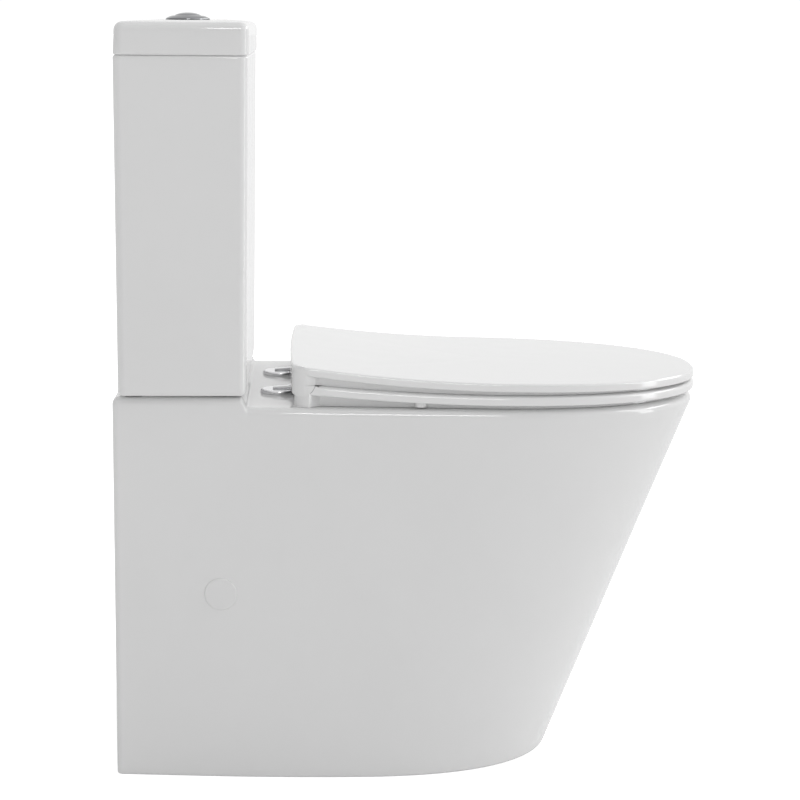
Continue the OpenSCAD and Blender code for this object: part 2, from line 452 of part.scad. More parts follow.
// ---- hinges ----
module hinge_plates() color([0.85, 0.85, 0.85]) pair(hinge_s, hinge_half, deck_at(hinge_s) + 0.2) tube(17, 3.3, 1.6);
module hinge_covers() color(chromed) pair(hinge_s, hinge_half, deck_at(hinge_s) + 0.2) difference() {
    rotate_extrude() polygon([[0, 1.8], [17.4, 1.8], [17.4, 0], [20.6, 0], [21, 0.4], [21, 2.6], [20, 3.8], [17, 4.4], [0, 4.8]]);
}
module hinge_posts() color(chromed) for (k = [-1, 1]) translate([k * hinge_half, 0, 0]) difference() {
    union() {
        barrel(-post_half_w, post_half_w, 8.2);
        across(2 * post_half_w) polygon(ys([[axis_s - 8, axis_z], [axis_s - 7.2, axis_z - 14.5], [axis_s - 14, axis_z - 21.2], [axis_s - 32, axis_z - 22.5], [axis_s - 32, axis_z - 24.5], [axis_s - 4, axis_z - 24.5], [axis_s + 3, axis_z - 18], [axis_s + 6, axis_z]]));
    }
    barrel(-20, 20, hinge_pin_r + 0.02);
}
module hinge_pins() color(chromed) for (k = [-1, 1]) barrel(k * hinge_half - 26.8, k * hinge_half + 26.8, hinge_pin_r);
module hinge_dampers() color([0.55, 0.56, 0.58]) for (k = [-1, 1]) { a = k * (hinge_half - 27.3); b = k * (hinge_half - 50); barrel(min(a, b), max(a, b), 7.5); }
module hinge_bolts() color([0.75, 0.73, 0.68]) pair(hinge_s, hinge_half) translate([0, 0, 368]) { cylinder(r = 3, h = deck_z - 368 + 1.5); }
module hinge_bushes() color(rubbery) pair(hinge_s, hinge_half, under_z - 4) difference() {
    union() { cylinder(r = 11, h = 4); translate([0, 0, 4]) cylinder(r1 = 6.8, r2 = 6.2, h = 8); }
    translate([0, 0, -1]) cylinder(r = 3.1, h = 20);
}
module hinge_washers() color([0.75, 0.73, 0.68]) pair(hinge_s, hinge_half, under_z - 5.5) tube(10.5, 3.2, 1.5);
module hinge_wing_nuts() color([0.88, 0.88, 0.88]) pair(hinge_s, hinge_half, under_z - 5.5) mirror([0, 0, 1]) wing_nut(8, 3.04, 12);

// ---- push buttons ----
button_low = lid_top_z + 4;
module button_bezel() color(chromed) at(button_s, 0, bezel_z) rotate_extrude() polygon([[15.9, 1.9], [22.7, 1.9], [22.7, 0], [25.5, 0], [25.5, 0.8], [25.1, 1.6], [24, 2.4], [22, 3.3], [19.5, 4.1], [17, 4.7], [16.3, 4.6], [15.9, 4.1]]);
shelf_z = lid_z + 12;
module button_barrel() color([0.93, 0.93, 0.93]) at(button_s, 0, 0) {
    translate([0, 0, shelf_z]) tube(19, 15.9, bezel_z - shelf_z + 1);
    translate([0, 0, bezel_z + 0.2]) tube(22.5, 15.9, 1.5);
    translate([0, 0, shelf_z]) difference() {
        cylinder(r = 16.5, h = 2);
        for (k = [-1, 1]) translate([9 * k, 0, -1]) cylinder(r = 2.4, h = 4);
    }
}
module button_nut() color([0.90, 0.90, 0.90]) at(button_s, 0, lid_top_z - 12 - 9) difference() { cylinder(r = 30, h = 9, $fn = 8); translate([0, 0, -1]) cylinder(r = 19.06, h = 11); }
module button(k) {
    at(button_s, 0, 0) intersection() {
        rotate_extrude() polygon([[0, button_low], [15.3, button_low], [15.3, bezel_z + 4.4], [15, bezel_z + 5.1], [13.5, bezel_z + 6], [10.5, bezel_z + 7.05], [7, bezel_z + 7.8], [3.5, bezel_z + 8.2], [0, bezel_z + 8.3]]);
        translate([k > 0 ? 0.35 : -40.35, -40, button_low - 1]) cube([40, 80, 12]);
    }
    at(button_s, 9 * k, button_low - 9) cylinder(r = 2.9, h = 10);
}
module full_button() color(chromed) button(1);
module half_button() color(chromed) button(-1);
rod_low = 704 + 8.9;
module rod(k) { at(button_s, 9 * k, rod_low) cylinder(r = 2, h = button_low - 9 - rod_low); at(button_s, 9 * k, rod_low - 1.5) cylinder(r = 2.6, h = 2); }
module full_rod() color([0.86, 0.20, 0.16]) rod(1);
module half_rod() color([0.20, 0.42, 0.78]) rod(-1);
spring_turns = 4.5;
spring_r = 4.3;
wire_r = 0.45;
function coil_ring(t, h, z0) = let (a = 360 * t * spring_turns, z = z0 + h * t) [for (k = [0 : 5]) let (b = 60 * k, r = spring_r + wire_r * cos(b)) [r * cos(a), r * sin(a), z + wire_r * sin(b)]];
module spring(k) {
    z0 = shelf_z + 2 + 0.5;
    h = button_low - z0 - 0.5;
    n = 46;
    at(button_s, 9 * k, 0) polyhedron(points = [for (i = [0 : n]) each coil_ring(i / n, h, z0)],
        faces = concat([[for (j = [5 : -1 : 0]) j]], [for (i = [0 : n - 1]) for (j = [0 : 5]) let (p = i * 6 + j, q = i * 6 + (j + 1) % 6) each [[p, q, q + 6], [p, q + 6, p + 6]]], [[for (j = [0 : 5]) n * 6 + j]]), convexity = 10);
}
module full_spring() color(chromed) spring(1);
module half_spring() color(chromed) spring(-1);

// ---- flush valve ----
seat_z = floor_z + 12;
module flush_valve_base() color([0.92, 0.92, 0.92]) at(valve_s, 0, 0) {
    translate([0, 0, cist_z - 22]) tube(31, 26, floor_z + 5 - cist_z + 22);
    translate([0, 0, floor_z + 3]) tube(44, 26, 4);
    translate([0, 0, floor_z + 6]) tube(31, 26, 6);
}
module flush_valve_washer() color(rubbery) at(valve_s, 0, floor_z) tube(43, 31.6, 3);
module flush_valve_nut() color([0.92, 0.92, 0.92]) at(valve_s, 0, nut_z) difference() { cylinder(r = 44, h = 12, $fn = 12); translate([0, 0, -1]) cylinder(r = 31.05, h = 14); }
cage_top = 560;
guide_top = 690;
lever_z = 704;
lever_x = 26;
module flush_valve_cage() color([0.90, 0.93, 0.97]) at(valve_s, 0, 0) {
    translate([0, 0, floor_z + 7]) tube(43, 34.5, 4);
    for (a = [45 : 90 : 315]) rotate(a) translate([36.5, -4, floor_z + 9]) cube([5, 8, cage_top - floor_z - 9]);
    translate([0, 0, cage_top - 5]) tube(43, 24, 5);
    translate([0, 0, cage_top - 4]) tube(28, 24, guide_top - cage_top + 4);
    translate([0, 0, guide_top - 5]) difference() { tube(40, 24, 5); for (k = [-1, 1]) translate([k * 46 - 9, -9, -1]) cube([18, 18, 7]); }
    for (k = [-1, 1]) for (q = [-1, 1]) difference() {
        translate([k * lever_x - 5, q * 9 - 1.5, guide_top - 1]) cube([10, 3, lever_z - guide_top + 6]);
        translate([k * lever_x, 0, lever_z]) rotate([90, 0, 0]) cylinder(r = 1.54, h = 40, center = true);
    }
}
module flush_canister() color([0.35, 0.55, 0.80]) at(valve_s, 0, 0) {
    translate([0, 0, seat_z + 3]) tube(20, 17.6, 680 - seat_z - 3);
    translate([0, 0, seat_z + 3]) tube(33, 19, 3);
    translate([0, 0, 480]) tube(23.6, 19.5, 4);
    translate([0, 0, 640]) tube(23.6, 19.5, 4);
    translate([0, 0, seat_z + 6]) { translate([18, -4, -1.5]) cube([31, 8, 4.5]); }
    translate([45, -3, seat_z + 6]) cube([4, 6, lever_z + 12.4 - seat_z - 6]);
    translate([37, -3, lever_z + 7.4]) cube([12, 6, 5]);
}
module flush_seal() color(rubbery) at(valve_s, 0, seat_z) tube(33.5, 20.05, 3);
lever_arm = 17;
// The lever: its inner end is pressed down, its outer end lifts the canister's hook
module lever(outer) {
    difference() {
        union() {
            translate([0, 6, 0]) rotate([90, 0, 0]) cylinder(r = 4.5, h = 12);
            translate([-lever_arm - 3, -5, 3.2]) cube([lever_arm + 3, 10, 3.4]);
            translate([0, -3.5, 3.2]) cube([outer, 7, 3.4]);
            translate([-3, -5, 0]) cube([6, 10, 5]);
        }
        rotate([90, 0, 0]) cylinder(r = 1.56, h = 40, center = true);
    }
}
module flush_lever() color([0.86, 0.20, 0.16]) at(valve_s, lever_x, lever_z) lever(18);
module half_flush_latch() color([0.20, 0.42, 0.78]) at(valve_s, -lever_x, lever_z) mirror([1, 0, 0]) lever(12);
module lever_pins() color([0.75, 0.73, 0.68]) for (k = [-1, 1]) at(valve_s, k * lever_x, lever_z) rotate([90, 0, 0]) cylinder(r = 1.5, h = 22, center = true);

// ---- fill valve ----
tail_r = 10.48;
riser_top = 690;
head_z = riser_top;
module fill_valve_riser() color([0.92, 0.92, 0.92]) at(fill_s, fill_x, 0) {
    translate([0, 0, 396]) tube(tail_r, 6.5, 35);
    translate([0, 0, 431]) tube(10.8, 6.5, floor_z + 4 - 431);
    translate([0, 0, floor_z + 3]) tube(17, 6.5, 4);
    translate([0, 0, floor_z + 6]) tube(11, 6.5, riser_top - floor_z - 6);
}
module fill_valve_washer() color(rubbery) at(fill_s, fill_x, floor_z) tube(17, 10.9, 3);
module fill_valve_nut() color([0.92, 0.92, 0.92]) at(fill_s, fill_x, cist_z - 8) difference() { cylinder(r = 17, h = 8, $fn = 6); translate([0, 0, -1]) cylinder(r = 10.84, h = 10); }
lever2_l = 46;
module fill_valve_head() color([0.30, 0.55, 0.78]) at(fill_s, fill_x, 0) difference() {
    union() {
        translate([0, 0, head_z]) cylinder(r = 19, h = 22);
        translate([0, 0, head_z + 21]) cylinder(r = 16, h = 8);
        for (q = [-1, 1]) translate([8, q * 6.5 - 1.5, head_z + 28]) cube([10, 3, 12]);
    }
    translate([13, 0, head_z + 35]) rotate([90, 0, 0]) cylinder(r = 1.54, h = 40, center = true);
}
float_travel = 16;
module fill_valve_float() color([0.25, 0.27, 0.30]) at(fill_s, fill_x, 0) {
    translate([0, 0, 600]) tube(30, 11.6, 62);
    translate([-27, 0, 655]) cylinder(r = 1.8, h = head_z + 31 - 655);
    translate([-27, 0, 660]) cylinder(r = 3.5, h = 6);
}
module float_lever() color([0.92, 0.92, 0.92]) at(fill_s, fill_x + 13, head_z + 35) difference() {
    union() {
        translate([0, 4.5, 0]) rotate([90, 0, 0]) cylinder(r = 3.5, h = 9);
        translate([-lever2_l, -3, -2.6]) cube([lever2_l, 6, 5.2]);
        translate([-40, 0, -2.6]) cylinder(r = 4.4, h = 5.2);
    }
    rotate([90, 0, 0]) cylinder(r = 1.56, h = 40, center = true);
}
module float_lever_pin() color([0.75, 0.73, 0.68]) at(fill_s, fill_x + 13, head_z + 35) rotate([90, 0, 0]) cylinder(r = 1.5, h = 17, center = true);

pan_deck();
pan_skirt();
pan_bowl();
pan_trap_throat();
pan_trap_rise();
pan_trap_fall();
pan_flush_channel();
side_caps();
cistern();
cistern_lid();
coupling_gasket();
coupling_bolts();
coupling_rubber_washers();
coupling_steel_washers();
coupling_wing_nuts();
cistern_pads();
seat_ring();
ring_buffers();
seat_lid();
lid_buffers();
hinge_plates();
hinge_covers();
hinge_posts();
hinge_pins();
hinge_dampers();
hinge_bolts();
hinge_bushes();
hinge_washers();
hinge_wing_nuts();
button_bezel();
button_barrel();
button_nut();
full_button();
full_rod();
full_spring();
half_button();
half_rod();
half_spring();
flush_valve_base();
flush_valve_washer();
flush_valve_nut();
flush_valve_cage();
flush_canister();
flush_seal();
flush_lever();
half_flush_latch();
lever_pins();
fill_valve_riser();
fill_valve_washer();
fill_valve_nut();
fill_valve_head();
fill_valve_float();
float_lever();
float_lever_pin();
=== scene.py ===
import math

import bmesh
import bpy
import numpy as np
from mathutils import Matrix, Vector


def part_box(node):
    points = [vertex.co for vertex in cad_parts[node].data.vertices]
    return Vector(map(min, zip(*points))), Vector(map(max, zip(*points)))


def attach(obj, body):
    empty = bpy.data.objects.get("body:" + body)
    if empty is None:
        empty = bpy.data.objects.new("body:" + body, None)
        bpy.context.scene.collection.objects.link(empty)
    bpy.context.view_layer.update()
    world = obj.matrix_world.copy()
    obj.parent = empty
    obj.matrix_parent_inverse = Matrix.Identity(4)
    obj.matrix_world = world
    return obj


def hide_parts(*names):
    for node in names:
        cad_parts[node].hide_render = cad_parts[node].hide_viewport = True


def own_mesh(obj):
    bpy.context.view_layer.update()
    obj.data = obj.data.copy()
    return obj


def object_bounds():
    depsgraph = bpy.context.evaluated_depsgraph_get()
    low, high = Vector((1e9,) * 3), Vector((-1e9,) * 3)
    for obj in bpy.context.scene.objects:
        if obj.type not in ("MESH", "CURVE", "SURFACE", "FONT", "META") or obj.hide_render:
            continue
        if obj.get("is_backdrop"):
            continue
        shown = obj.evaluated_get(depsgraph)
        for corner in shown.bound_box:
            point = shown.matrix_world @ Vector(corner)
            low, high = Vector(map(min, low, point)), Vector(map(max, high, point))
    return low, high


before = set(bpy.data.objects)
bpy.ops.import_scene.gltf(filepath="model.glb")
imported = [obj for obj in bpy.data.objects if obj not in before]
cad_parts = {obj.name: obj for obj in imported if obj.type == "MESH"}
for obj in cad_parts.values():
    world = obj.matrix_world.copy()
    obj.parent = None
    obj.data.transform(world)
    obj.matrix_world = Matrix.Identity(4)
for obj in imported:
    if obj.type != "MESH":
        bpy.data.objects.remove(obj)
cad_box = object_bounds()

# Lengths below are millimetres: s is the distance out from the wall, x sideways, z up from the floor.
OVERALL = 676.0
DECK, LEDGE = 426.5, 438.0
AXIS_S, AXIS_Z = 209.0, 456.0
HINGE_S, HINGE_X = 183.8, 66.6
BUTTON_S, LID_TOP = 78.5, 850.0
CIST_Z, BODY_TOP = 440.0, 814.0
INLET_S = 80.0
CAP_S, CAP_Z = 120.0, 214.0
TRAP_R = 40.0


def yy(s):
    return OVERALL / 2 - s


def mix(a, b, t):
    return a + (b - a) * t


def smooth(t):
    t = np.clip(t, 0, 1)
    return t * t * (3 - 2 * t)


# ------------------------------------------------------------------ meshes
def new_object(name, points, faces, material_index=None):
    """A mesh object from millimetre points, with its faces turned outwards."""
    me = bpy.data.meshes.new(name)
    me.from_pydata((np.asarray(points, float) / 1000).tolist(), [], faces)
    if material_index is not None:
        me.polygons.foreach_set("material_index", np.asarray(material_index, np.int32))
    bm = bmesh.new()
    bm.from_mesh(me)
    bmesh.ops.remove_doubles(bm, verts=bm.verts, dist=1e-6)
    bmesh.ops.dissolve_degenerate(bm, dist=1e-7, edges=bm.edges)
    bmesh.ops.recalc_face_normals(bm, faces=bm.faces)
    bm.to_mesh(me)
    bm.free()
    ob = bpy.data.objects.new(name, me)
    bpy.context.scene.collection.objects.link(ob)
    return ob


def ring3(half, z):
    """A closed ring from half an outline [s, x]; z is a number or one value per point."""
    half = np.asarray(half, float)
    z = np.broadcast_to(np.asarray(z, float), (len(half),))
    a = np.c_[half[:, 1], yy(half[:, 0]), z]
    b = np.c_[-half[1:-1, 1], yy(half[1:-1, 0]), z[1:-1]][::-1]
    return np.vstack([a, b])


def loft(name, rings, wrap=False, caps=("ngon", "ngon"), zones=None):
    """Quads between rings of the same number of points. zones gives each band's material index."""
    n = len(rings[0])
    points = np.vstack(rings)
    faces, mats = [], []
    i = np.arange(n)
    j = (i + 1) % n
    pairs = [(k, k + 1) for k in range(len(rings) - 1)]
    if wrap:
        pairs.append((len(rings) - 1, 0))
    for m, (a, b) in enumerate(pairs):
        q = np.c_[a * n + i, a * n + j, b * n + j, b * n + i]
        faces += q.tolist()
        mats += [0 if zones is None else zones[m]] * n
    if not wrap:
        for end, cap in ((0, caps[0]), (len(rings) - 1, caps[1])):
            idx = (end * n + i).tolist()
            if cap == "ngon":
                faces.append(idx[::-1] if end == 0 else idx)
                mats.append(0 if zones is None else zones[0 if end == 0 else -1])
            elif cap == "fan":
                c = len(points)
                points = np.vstack([points, rings[end].mean(0)])
                for u in range(n):
                    t = [c, idx[u], idx[(u + 1) % n]]
                    faces.append(t[::-1] if end == 0 else t)
                    mats.append(0 if zones is None else zones[0 if end == 0 else -1])
    return new_object(name, points, faces, mats)


def lathe(name, profile, s, x=0.0, z=0.0, n=96, frame3=None):
    """A solid of revolution from [radius, height] points that start and end on the axis or close on themselves."""
    profile = np.asarray(profile, float)
    a = np.linspace(0, 2 * math.pi, n, endpoint=False)
    pts, faces = [], []
    rows = []
    for r, h in profile:
        if r < 1e-6:
            rows.append([len(pts)])
            pts.append([0, 0, h])
        else:
            rows.append(list(range(len(pts), len(pts) + n)))
            pts += [[r * math.cos(t), r * math.sin(t), h] for t in a]
    closed = len(rows[0]) > 1 and len(rows[-1]) > 1
    seq = list(zip(rows[:-1], rows[1:])) + ([(rows[-1], rows[0])] if closed else [])
    for p, q in seq:
        if len(p) == 1 and len(q) == 1:
            continue
        for u in range(n):
            v = (u + 1) % n
            if len(p) == 1:
                faces.append([p[0], q[u], q[v]])
            elif len(q) == 1:
                faces.append([p[u], p[v], q[0]])
            else:
                faces.append([p[u], p[v], q[v], q[u]])
    pts = np.asarray(pts, float)
    if frame3 is not None:
        pts = pts @ np.asarray(frame3, float)
    pts = pts + np.array([x, yy(s), z])
    return new_object(name, pts, faces)


def arc(r0, z0, r1, z1, kind, steps=6):
    """Points of a quarter turn from (r0, z0) to (r1, z1). kind says which way it starts: 'h' along r, 'v' along z."""
    out = []
    for k in range(steps + 1):
        t = math.pi / 2 * k / steps
        if kind == "v":
            out.append([r0 + (r1 - r0) * (1 - math.cos(t)), z0 + (z1 - z0) * math.sin(t)])
        else:
            out.append([r0 + (r1 - r0) * math.sin(t), z0 + (z1 - z0) * (1 - math.cos(t))])
    return out


def prism(name, poly, x0, x1, bevel=0.0):
    """A polygon in (s, z), carried across from x0 to x1."""
    poly = np.asarray(poly, float)
    n = len(poly)
    a = np.c_[np.full(n, x0), yy(poly[:, 0]), poly[:, 1]]
    b = np.c_[np.full(n, x1), yy(poly[:, 0]), poly[:, 1]]
    faces = [[i, (i + 1) % n, n + (i + 1) % n, n + i] for i in range(n)]
    faces += [list(range(n)), list(range(2 * n - 1, n - 1, -1))]
    ob = new_object(name, np.vstack([a, b]), faces)
    if bevel:
        round_edges(ob, bevel)
    return ob


def box(name, s0, s1, x0, x1, z0, z1, bevel=0.0):
    return prism(name, [[s0, z0], [s1, z0], [s1, z1], [s0, z1]], x0, x1, bevel)


def barrel(name, x0, x1, r, s=AXIS_S, z=AXIS_Z, n=96, bevel=0.0):
    a = np.linspace(0, 2 * math.pi, n, endpoint=False)
    return prism(name, np.c_[s + r * np.cos(a), z + r * np.sin(a)], x0, x1, bevel)


def rod_z(name, s, x, r, z0, z1, n=72):
    return lathe(name, [[0, z0], [r, z0], [r, z1], [0, z1]], s, x, 0, n)


def evaluated(ob):
    dg = bpy.context.evaluated_depsgraph_get()
    me = bpy.data.meshes.new_from_object(ob.evaluated_get(dg))
    ob.modifiers.clear()
    ob.data = me
    return ob


def round_edges(ob, width, angle=30.0, segments=4):
    m = ob.modifiers.new("round", "BEVEL")
    m.width = width / 1000
    m.segments = segments
    m.limit_method = "ANGLE"
    m.angle_limit = math.radians(angle)
    m.use_clamp_overlap = True
    return evaluated(ob)


def join(ob, others, how):
    """Union, difference or intersection of ob with others, one at a time; the others are used up."""
    for o in others:
        m = ob.modifiers.new("join", "BOOLEAN")
        m.operation = how
        m.solver = "MANIFOLD"
        m.object = o
        before = len(ob.data.polygons)
        evaluated(ob)
        if len(ob.data.polygons) == 0:
            raise RuntimeError("a join left nothing: %s with %s (%d faces before)" % (ob.name, o.name, before))
        bpy.data.objects.remove(o)
    return ob


def tidy(ob, name, angle=32.0):
    bm = bmesh.new()
    bm.from_mesh(ob.data)
    bmesh.ops.remove_doubles(bm, verts=bm.verts, dist=2e-6)
    bmesh.ops.dissolve_degenerate(bm, dist=1e-6, edges=bm.edges)
    loose = [v for v in bm.verts if not v.link_faces]
    bmesh.ops.delete(bm, geom=loose, context="VERTS")
    bm.to_mesh(ob.data)
    bm.free()
    ob.data.polygons.foreach_set("use_smooth", [True] * len(ob.data.polygons))
    ob.data.set_sharp_from_angle(angle=math.radians(angle))
    ob.name = name
    ob.data.name = name
    return ob


def dress(ob, body, materials, nodes=()):
    ob.data.materials.clear()
    for m in materials if isinstance(materials, (list, tuple)) else [materials]:
        ob.data.materials.append(m)
    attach(ob, body)
    if nodes:
        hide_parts(*nodes)
    return ob


# ------------------------------------------------------------------ materials
class Net:
    """A small helper that writes node trees."""

    def __init__(self, name):
        self.mat = bpy.data.materials.new(name)
        self.mat.use_nodes = True
        self.tree = self.mat.node_tree
        self.tree.nodes.clear()
        self.out = self.add("ShaderNodeOutputMaterial")
        self.bsdf = self.add("ShaderNodeBsdfPrincipled")
        self.link(self.bsdf, "BSDF", self.out, "Surface")
        self.where = self.add("ShaderNodeTexCoord")

    def add(self, kind, **settings):
        node = self.tree.nodes.new(kind)
        for k, v in settings.items():
            setattr(node, k, v)
        return node

    def link(self, a, out, b, inp):
        self.tree.links.new(a.outputs[out], b.inputs[inp])

    def noise(self, scale, detail=2.0, rough=0.5, stretch=None, distortion=0.0):
        n = self.add("ShaderNodeTexNoise")
        n.inputs["Scale"].default_value = scale
        n.inputs["Detail"].default_value = detail
        n.inputs["Roughness"].default_value = rough
        n.inputs["Distortion"].default_value = distortion
        if stretch:
            m = self.add("ShaderNodeMapping")
            m.inputs["Scale"].default_value = stretch
            self.link(self.where, "Object", m, "Vector")
            self.link(m, "Vector", n, "Vector")
        else:
            self.link(self.where, "Object", n, "Vector")
        return n

    def ramp(self, source, out, stops):
        r = self.add("ShaderNodeValToRGB")
        e = r.color_ramp.elements
        while len(e) < len(stops):
            e.new(0.5)
        for k, (p, c) in enumerate(stops):
            e[k].position = p
            e[k].color = (*c, 1.0) if len(c) == 3 else c
        self.link(source, out, r, "Fac")
        return r

    def spread(self, source, out, low, high, a=0.3, b=0.7):
        m = self.add("ShaderNodeMapRange")
        m.inputs["From Min"].default_value = a
        m.inputs["From Max"].default_value = b
        m.inputs["To Min"].default_value = low
        m.inputs["To Max"].default_value = high
        self.link(source, out, m, "Value")
        return m

    def bump(self, layers):
        """layers: (node, output, height in metres), stacked."""
        last = None
        for node, out, height in layers:
            b = self.add("ShaderNodeBump")
            b.inputs["Strength"].default_value = 1.0
            b.inputs["Distance"].default_value = height
            self.link(node, out, b, "Height")
            if last is not None:
                self.link(last, "Normal", b, "Normal")
            last = b
        self.link(last, "Normal", self.bsdf, "Normal")
        return last

    def set(self, **values):
        for k, v in values.items():
            self.bsdf.inputs[k.replace("_", " ")].default_value = v


def shade(c, k):
    return tuple(min(1.0, v * k) for v in c)


def glazed(name, colour, rough=(0.05, 0.085)):
    """Vitreous china under a clear glaze: faint tone drift, a slow ripple in the glaze and a few fine specks."""
    n = Net(name)
    tone = n.noise(7.0, 3.0, 0.55)
    fine = n.noise(160.0, 2.0, 0.5)
    base = n.ramp(tone, "Fac", [(0.25, shade(colour, 0.985)), (0.5, colour), (0.75, shade(colour, 1.008))])
    speck = n.add("ShaderNodeTexVoronoi")
    speck.inputs["Scale"].default_value = 95.0
    n.link(n.where, "Object", speck, "Vector")
    dots = n.ramp(speck, "Distance", [(0.0, shade(colour, 0.90)), (0.035, shade(colour, 0.97)), (0.06, (1, 1, 1))])
    both = n.add("ShaderNodeMix", data_type="RGBA", blend_type="MULTIPLY")
    both.inputs["Factor"].default_value = 1.0
    n.link(base, "Color", both, "A")
    pale = n.add("ShaderNodeMix", data_type="RGBA", blend_type="MIX")
    keep = n.spread(fine, "Fac", 0.0, 0.5, 0.62, 0.72)
    n.link(keep, "Result", pale, "Factor")
    pale.inputs["A"].default_value = (1, 1, 1, 1)
    n.link(dots, "Color", pale, "B")
    n.link(pale, "Result", both, "B")
    n.link(both, "Result", n.bsdf, "Base Color")
    r = n.spread(n.noise(22.0, 3.0, 0.6), "Fac", rough[0], rough[1])
    n.link(r, "Result", n.bsdf, "Roughness")
    n.bump([(n.noise(26.0, 1.0, 0.5), "Fac", 0.000018), (fine, "Fac", 0.0000015)])
    n.set(IOR=1.53)
    return n.mat


def bisque(name, colour):
    """Unglazed china: matt, grainy, a little warmer."""
    n = Net(name)
    grain = n.noise(900.0, 4.0, 0.6)
    cloud = n.noise(18.0, 3.0, 0.6)
    base = n.ramp(cloud, "Fac", [(0.3, shade(colour, 0.93)), (0.55, colour), (0.8, shade(colour, 1.03))])
    n.link(base, "Color", n.bsdf, "Base Color")
    r = n.spread(grain, "Fac", 0.55, 0.8)
    n.link(r, "Result", n.bsdf, "Roughness")
    n.bump([(cloud, "Fac", 0.0004), (grain, "Fac", 0.00006)])
    n.set(IOR=1.5)
    return n.mat


def moulded(name, colour, rough=(0.1, 0.15), ripple=0.00003, ior=1.5, coat=0.0, mottle=0.015):
    """Moulded plastic: gentle flow marks and a fine surface tooth."""
    n = Net(name)
    flow = n.noise(9.0, 2.0, 0.5, stretch=(1.0, 0.45, 1.0), distortion=0.6)
    tooth = n.noise(700.0, 2.0, 0.5)
    base = n.ramp(flow, "Fac", [(0.3, shade(colour, 1 - mottle)), (0.5, colour), (0.7, shade(colour, 1 + mottle / 2))])
    n.link(base, "Color", n.bsdf, "Base Color")
    r = n.spread(n.noise(40.0, 3.0, 0.6), "Fac", rough[0], rough[1])
    n.link(r, "Result", n.bsdf, "Roughness")
    n.bump([(n.noise(20.0, 1.0, 0.5), "Fac", ripple), (tooth, "Fac", 0.000002)])
    n.set(IOR=ior, Coat_Weight=coat, Coat_Roughness=0.04)
    return n.mat


def plated(name, colour, rough=(0.03, 0.09), brushed=None):
    """Plated or bare metal: slight haze, fine hairlines."""
    n = Net(name)
    haze = n.noise(60.0, 3.0, 0.6)
    hair = n.noise(1400.0, 2.0, 0.5, stretch=brushed or (0.12, 1.0, 1.0))
    base = n.ramp(haze, "Fac", [(0.3, shade(colour, 0.96)), (0.55, colour), (0.8, shade(colour, 1.02))])
    n.link(base, "Color", n.bsdf, "Base Color")
    r = n.spread(haze, "Fac", rough[0], rough[1])
    n.link(r, "Result", n.bsdf, "Roughness")
    n.bump([(haze, "Fac", 0.000004), (hair, "Fac", 0.000002 if brushed is None else 0.000008)])
    n.set(Metallic=1.0)
    return n.mat


def rubbery(name, colour):
    n = Net(name)
    grain = n.noise(800.0, 3.0, 0.6)
    bloom = n.noise(30.0, 3.0, 0.6)
    base = n.ramp(bloom, "Fac", [(0.3, colour), (0.7, shade(colour, 1.6))])
    n.link(base, "Color", n.bsdf, "Base Color")
    r = n.spread(grain, "Fac", 0.55, 0.8)
    n.link(r, "Result", n.bsdf, "Roughness")
    n.bump([(grain, "Fac", 0.00004)])
    n.set(IOR=1.5)
    return n.mat


M = {
    "china": glazed("china_glaze", (0.80, 0.80, 0.80)),
    "foot": bisque("china_unglazed", (0.70, 0.68, 0.64)),
    "cap": moulded("cap_plastic", (0.80, 0.80, 0.80), (0.12, 0.18), 0.00002),
    "seat": moulded("seat_plastic", (0.82, 0.82, 0.82), (0.09, 0.13), 0.00003, 1.53, 0.3, 0.01),
    "buffer": moulded("buffer_plastic", (0.60, 0.60, 0.60), (0.4, 0.5), 0.00004),
    # The chrome's base colour is set far below real chrome so that it reads dark: painted shade standing in for the
    # dark surroundings it would reflect
    "chrome": plated("chrome_painted_dark", (0.30, 0.304, 0.312), (0.02, 0.05)),
    "post": plated("post_plate", (0.70, 0.70, 0.71), (0.12, 0.2)),
    "cover": plated("cover_plate", (0.80, 0.80, 0.81), (0.16, 0.26)),
    "steel": plated("zinc_steel", (0.56, 0.55, 0.52), (0.22, 0.38), (0.1, 1.0, 1.0)),
    "rubber": rubbery("rubber_black", (0.022, 0.022, 0.024)),
    "white": moulded("valve_white", (0.78, 0.78, 0.77), (0.28, 0.4), 0.00004),
    "grey": moulded("valve_grey", (0.20, 0.21, 0.22), (0.3, 0.42), 0.00004),
    "blue": moulded("valve_blue", (0.10, 0.26, 0.55), (0.28, 0.4), 0.00004, mottle=0.05),
    "red": moulded("valve_red", (0.55, 0.06, 0.04), (0.28, 0.4), 0.00004, mottle=0.05),
}

# Carried-over CAD nodes and what they are made of
FINISH = {
    "chrome": ["hinge_pins"],
    "steel": ["coupling_bolts", "coupling_steel_washers", "hinge_bolts", "hinge_washers", "lever_pins", "float_lever_pin"],
    "rubber": ["coupling_gasket", "coupling_rubber_washers", "cistern_pads", "hinge_bushes", "flush_valve_washer",
               "flush_seal", "fill_valve_washer"],
    "white": ["coupling_wing_nuts", "hinge_wing_nuts", "hinge_plates", "button_barrel", "button_nut", "flush_valve_base",
              "flush_valve_nut", "flush_valve_cage", "fill_valve_riser", "fill_valve_nut", "float_lever"],
    "grey": ["hinge_dampers", "fill_valve_float"],
    "blue": ["flush_canister", "half_rod", "half_flush_latch", "fill_valve_head"],
    "red": ["full_rod", "flush_lever"],
}
for key, names in FINISH.items():
    for name in names:
        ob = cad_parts[name]
        ob.data.materials.clear()
        ob.data.materials.append(M[key])


# ------------------------------------------------------------------ the pan
def deck_at(s):
    return mix(DECK - 0.007 * (s - 180), LEDGE, smooth((151 - s) / 8))


def up_t(z):
    return np.clip(np.asarray(z, float) / 418, 0, 1)


def tip_s(z):
    return 505 + 169 * up_t(z)


def half_w(z):
    return mix(184.5, 181.0, up_t(z))


